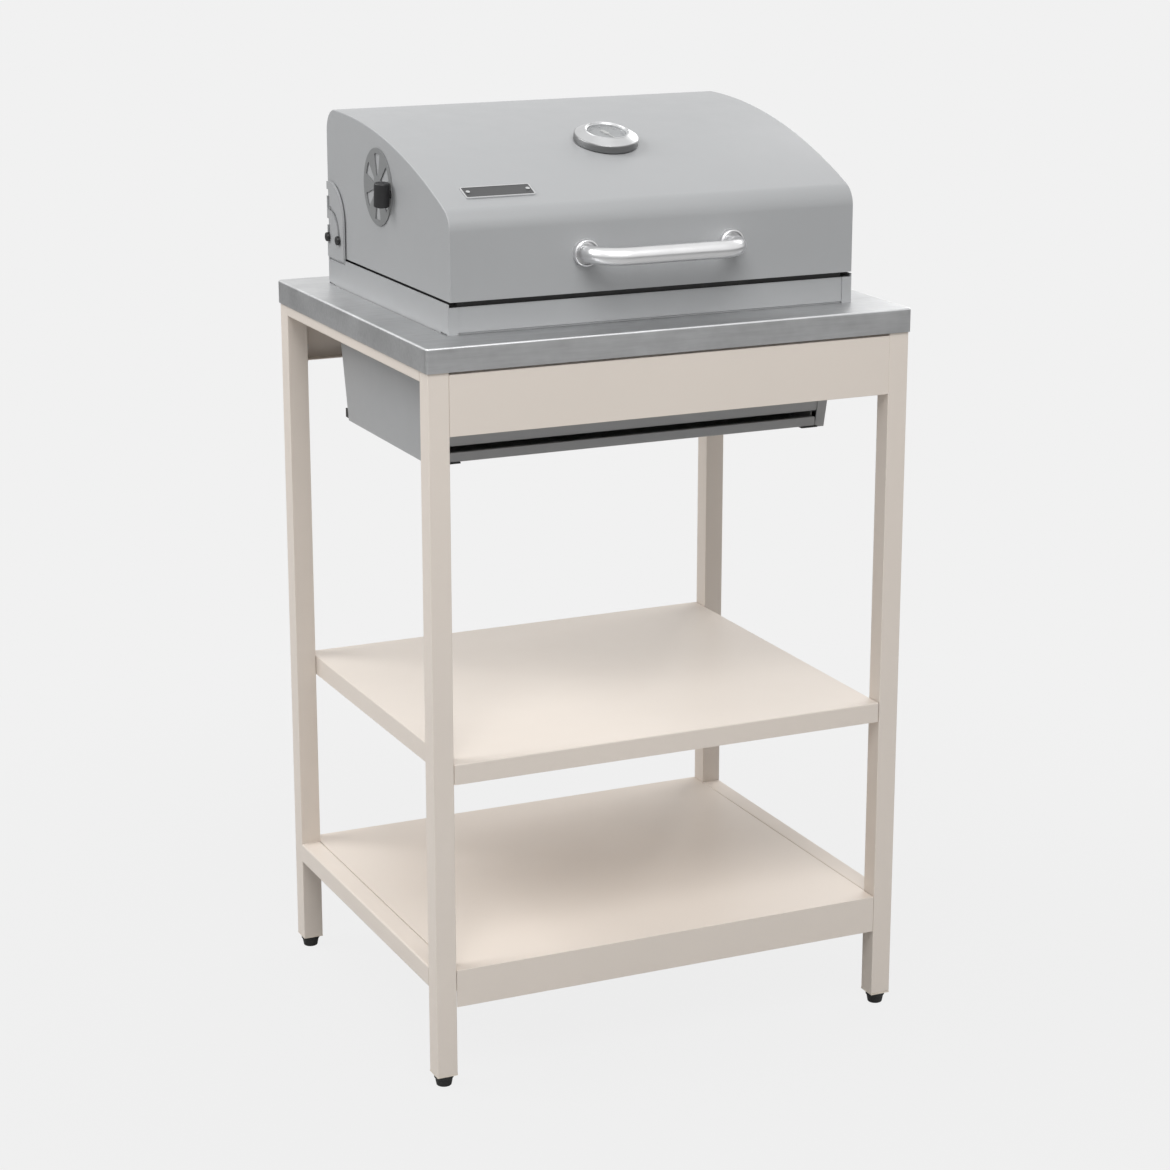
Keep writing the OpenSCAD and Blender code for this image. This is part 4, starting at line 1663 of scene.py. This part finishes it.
@dataclass
class Thermometer:
    """The dial thermometer on the hood's top.

    Attributes:
        cone: Share of the bezel's radius at which its cone ends.
        band: Share of the bezel's height that is its upright band.
        ticks: Number of steps of the scale.
        sweep: Angle of the scale in degrees.
    """

    cone: float = 0.67
    band: float = 0.6
    ticks: int = 30
    sweep: float = 300.0

    def __post_init__(self) -> None:
        """Finds the dial's axis and its place on the hood."""
        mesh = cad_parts["thermometer_dial"].data
        face = max((p for p in mesh.polygons if p.normal.z > 0.5), key=lambda p: p.area)
        self.axis = face.normal.copy()
        centre = middle("thermometer_bezel")
        points = [p for points in islands("thermometer_bezel") for p in points]
        lift = min((p - centre).dot(self.axis) for p in points)
        self.foot = centre + self.axis * lift
        self.height = max((p - centre).dot(self.axis) for p in points) - lift
        self.radius = max(
            ((p - centre) - self.axis * (p - centre).dot(self.axis)).length for p in points
        )

    def build(self) -> list[str]:
        """Builds the thermometer's pieces.

        Returns:
            Their names.
        """
        maker = Maker(Body.HOOD)
        # The bezel's upright band gets a painted shade, darker colour standing in for its dark
        # reflection.
        steel = TurnedSteel(
            "bezel_turned_steel", (0.63, 0.635, 0.64), self.foot, self.axis,
            self.height * self.band, 0.38,
        )
        maker.piece(
            "thermometer_bezel_turned", self._bezel(), steel,
            ["thermometer_bezel"], weighted=False,
        )
        maker.dress("thermometer_dial", DIAL_PAINT)
        maker.piece("dial_scale", self._scale(), TICK_INK)
        maker.dress("thermometer_glass", GLASS)
        needle = Maker(Body.NEEDLE)
        needle.dress("thermometer_pointer", NEEDLE_PAINT)
        return maker.made + needle.made

    def _bezel(self) -> BMesh:
        """The turned bezel: a band, a cone, a rolled lip and an inner wall."""
        r, h = self.radius, self.height
        band = h * self.band
        lip_r = r * self.cone
        bore = lip_r - 2.0 * MM
        roll = 1.3 * MM
        profile = [(bore, 0.1 * MM), (r - 0.8 * MM, 0), (r, 0.8 * MM), (r, band - 1.0 * MM)]
        profile += [(r - 0.4 * MM, band - 0.3 * MM), (r - 1.3 * MM, band + 0.2 * MM)]
        profile += [(lip_r + roll, h - 0.8 * MM)]
        profile += arc((lip_r + roll - 0.9 * MM, h - 1.3 * MM), 1.3 * MM, 60, 180, 8)
        profile += [(bore, h - 2.2 * MM), (bore, 0.1 * MM)]
        return turned(profile, along(self.foot, self.axis), 128)

    def _scale(self) -> BMesh:
        """The scale's fine marks on the dial."""
        glass_r = size("thermometer_glass").x / 2
        top = max(
            (p - self.foot).dot(self.axis)
            for points in islands("thermometer_dial")
            for p in points
        )
        marks = []
        for i in range(self.ticks + 1):
            major = i % 5 == 0
            angle = math.radians(-90 - self.sweep / 2 + self.sweep * i / self.ticks + 180)
            long = (4.2 if major else 2.2) * MM
            wide = (0.45 if major else 0.25) * MM
            outer = glass_r - 3.2 * MM
            mark = block(
                Vector((outer - long, -wide, top)), Vector((outer, wide, top + 0.06 * MM))
            )
            turn = along(self.foot, self.axis) @ Matrix.Rotation(angle, 4, "Z")
            bmesh.ops.transform(mark, matrix=turn, verts=mark.verts)
            marks.append(mark)
        return join(marks)


@dataclass
class Vent:
    """The turning damper of the hood's left side.

    Attributes:
        grip_bend: Radius of the grip's ends.
        ribs: Number of the grip's ribs.
        turn: How far the grip is turned down from straight ahead, in degrees.
        stand_off: Gap between the grip's barrel and the disc.
        neck: Radius of the grip's neck.
    """

    grip_bend: float = 1.6 * MM
    ribs: int = 18
    turn: float = 5.0
    stand_off: float = 1.2 * MM
    neck: float = 4.0 * MM

    def build(self) -> list[str]:
        """Builds the damper's pieces.

        Returns:
            Their names.
        """
        maker = Maker(Body.DAMPER)
        maker.dress("vent_disc", DAMPER_PAINT)
        maker.piece("vent_grip_barrel", self._grip(), GRIP_PLASTIC, ["vent_grip"])
        maker.dress("vent_grip_pin", ZINC)
        return maker.made

    def _grip(self) -> BMesh:
        """The ribbed barrel and its neck."""
        low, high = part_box("vent_grip")
        tilt = math.radians(self.turn)
        radius = (high.x - low.x - self.stand_off) / 2
        length = (high.z - low.z - 2 * radius * math.sin(tilt)) / math.cos(tilt)
        centre = (low + high) / 2
        centre.x = low.x + radius
        bend = self.grip_bend
        profile = [(0, 0)] + arc((radius - bend, bend), bend, -90, 0, 5)
        profile += arc((radius - bend, length - bend), bend, 0, 90, 5) + [(0, length)]
        barrel = turned(profile, Matrix.Identity(4), self.ribs * 6)
        for vert in barrel.verts:
            reach = math.hypot(vert.co.x, vert.co.y)
            if reach > radius - 0.2 * MM and 3 * MM < vert.co.z < length - 3 * MM:
                wave = math.cos(math.atan2(vert.co.y, vert.co.x) * self.ribs)
                dent = 0.35 * MM * (0.5 - 0.5 * wave) / reach
                vert.co.x -= vert.co.x * dent
                vert.co.y -= vert.co.y * dent
        upright = Vector((0, -math.sin(tilt), math.cos(tilt)))
        place = along(centre - upright * (length / 2), upright)
        bmesh.ops.transform(barrel, matrix=place, verts=barrel.verts)
        reach = high.x - centre.x
        flare = 1 * MM
        profile = [(0, 0), (self.neck, 0), (self.neck, reach - flare)]
        profile += [(self.neck + flare, reach), (0, reach)]
        neck = turned(profile, along(centre, Vector((1, 0, 0))), 40)
        return join([barrel, neck])


# ---- studio ----


@dataclass(frozen=True)
class Studio:
    """Pale floor, soft lamps and the camera.

    Attributes:
        backdrop: Display level of the pale background.
        eye: The camera's place.
        azimuth: The camera's heading, in degrees left of straight ahead.
        elevation: The camera's height above the horizon, in degrees.
        lens: The camera's focal length in millimetres.
        ambient: Strength of the world's light on matt surfaces.
    """

    backdrop: float = 0.945
    eye: tuple[float, float, float] = (-1.4358, -3.1314, 1.4688)
    azimuth: float = 24.61
    elevation: float = 15.56
    lens: float = 89.94
    ambient: float = 0.42

    def build(self) -> None:
        """Builds the camera, the lamps, the world and the floor."""
        self._camera()
        self._lamp("left_softbox", (-2.6, 0.9, 2.9), (2.0, 2.0), 64)
        self._lamp("front_softbox", (-0.6, -2.15, 3.3), (2.4, 1.8), 73)
        self._lamp("rear_softbox", (2.6, 1.6, 1.9), (2.0, 1.8), 40)
        self._world()
        self._floor()
        bpy.context.scene.view_settings.view_transform = "Standard"

    def _camera(self) -> None:
        """Places the camera."""
        camera = bpy.data.cameras.new("camera")
        camera.lens = self.lens
        camera.sensor_width = 36.0
        camera.clip_end = 100.0
        rig = bpy.data.objects.new("camera", camera)
        rig.location = self.eye
        rig.rotation_euler = (
            math.radians(90 - self.elevation), 0, math.radians(-self.azimuth)
        )
        bpy.context.scene.collection.objects.link(rig)
        bpy.context.scene.camera = rig

    def _lamp(
        self,
        name: str,
        place: tuple[float, float, float],
        span: tuple[float, float],
        power: float,
    ) -> None:
        """Adds a soft rectangular lamp that faces the grill.

        Args:
            name: The lamp's name.
            place: Where it hangs.
            span: Its width and height.
            power: Its power in watts.
        """
        light = bpy.data.lights.new(name, "AREA")
        light.shape = "RECTANGLE"
        light.size, light.size_y = span
        light.energy = power
        lamp = bpy.data.objects.new(name, light)
        lamp.location = place
        aim = Vector((0, 0, 0.75)) - Vector(place)
        lamp.rotation_euler = aim.to_track_quat("-Z", "Y").to_euler()
        bpy.context.scene.collection.objects.link(lamp)

    def _pale(self) -> Colour:
        """The background's colour."""
        return shade(self.backdrop, self.backdrop, self.backdrop)

    def _world(self) -> None:
        """Fills the world: pale where it is seen, dimmer where it lights."""
        world = bpy.data.worlds.new("studio")
        bpy.context.scene.world = world
        shader = Shader("studio", world)
        path = shader.node("ShaderNodeLightPath").outputs
        seen = Term(shader, path["Is Camera Ray"])
        for kind in ("Is Glossy Ray", "Is Transmission Ray"):
            seen = seen.math("MAXIMUM", Term(shader, path[kind]))
        dim = shader.node(
            "ShaderNodeBackground", {}, {"Color": (1, 1, 1), "Strength": self.ambient}
        )
        pale = shader.node(
            "ShaderNodeBackground", {}, {"Color": self._pale(), "Strength": 1.0}
        )
        mix = shader.node(
            "ShaderNodeMixShader", {}, {0: seen, 1: dim.outputs[0], 2: pale.outputs[0]}
        )
        shader.node("ShaderNodeOutputWorld", {}, {"Surface": mix.outputs[0]})

    def _floor(self) -> None:
        """Lays the pale floor, which keeps a soft shadow near the feet."""
        shader = Shader("pale_floor")
        parts = shader.node(
            "ShaderNodeSeparateXYZ", {}, {"Vector": shader.place()}
        ).outputs
        x, y = Term(shader, parts[0]), Term(shader, parts[1])
        near = 1 - ((x * x + y * y) ** 0.5).between(0.35, 1.5)
        path = shader.node("ShaderNodeLightPath").outputs
        seen = Term(shader, path["Is Camera Ray"]).math(
            "MAXIMUM", Term(shader, path["Is Transmission Ray"])
        )
        paint = shader.node(
            "ShaderNodeBsdfDiffuse", {}, {"Color": (0.5, 0.5, 0.5)}
        )
        glow = shader.node(
            "ShaderNodeEmission", {}, {"Color": self._pale(), "Strength": 1.0}
        )
        mix = shader.node(
            "ShaderNodeMixShader",
            {},
            {0: seen * (1 - near * 0.05), 1: paint.outputs[0], 2: glow.outputs[0]},
        )
        shader.node("ShaderNodeOutputMaterial", {}, {"Surface": mix.outputs[0]})
        shape = bmesh.new()
        bmesh.ops.create_grid(shape, x_segments=1, y_segments=1, size=40.0)
        mesh = bpy.data.meshes.new("floor")
        shape.to_mesh(mesh)
        shape.free()
        mesh.materials.append(shader.material)
        floor = bpy.data.objects.new("floor", mesh)
        bpy.context.scene.collection.objects.link(floor)
        floor.location.z = -0.0005


def write_sizes() -> None:
    """Updates the view layer."""
    bpy.context.view_layer.update()


def main() -> None:
    """Builds the studio and every sub-assembly, and reports their pieces."""
    logging.basicConfig(level=logging.INFO, format="%(name)s: %(message)s")
    Studio().build()
    parts = (Stand, Worktop, Firebox, AshDrawer, Hood, Handle, Thermometer, Vent)
    for part in parts:
        names = part().build()
        LOG.info("%s: %d pieces", part.__name__, len(names))
    write_sizes()


if __name__ == "__main__":
    main()
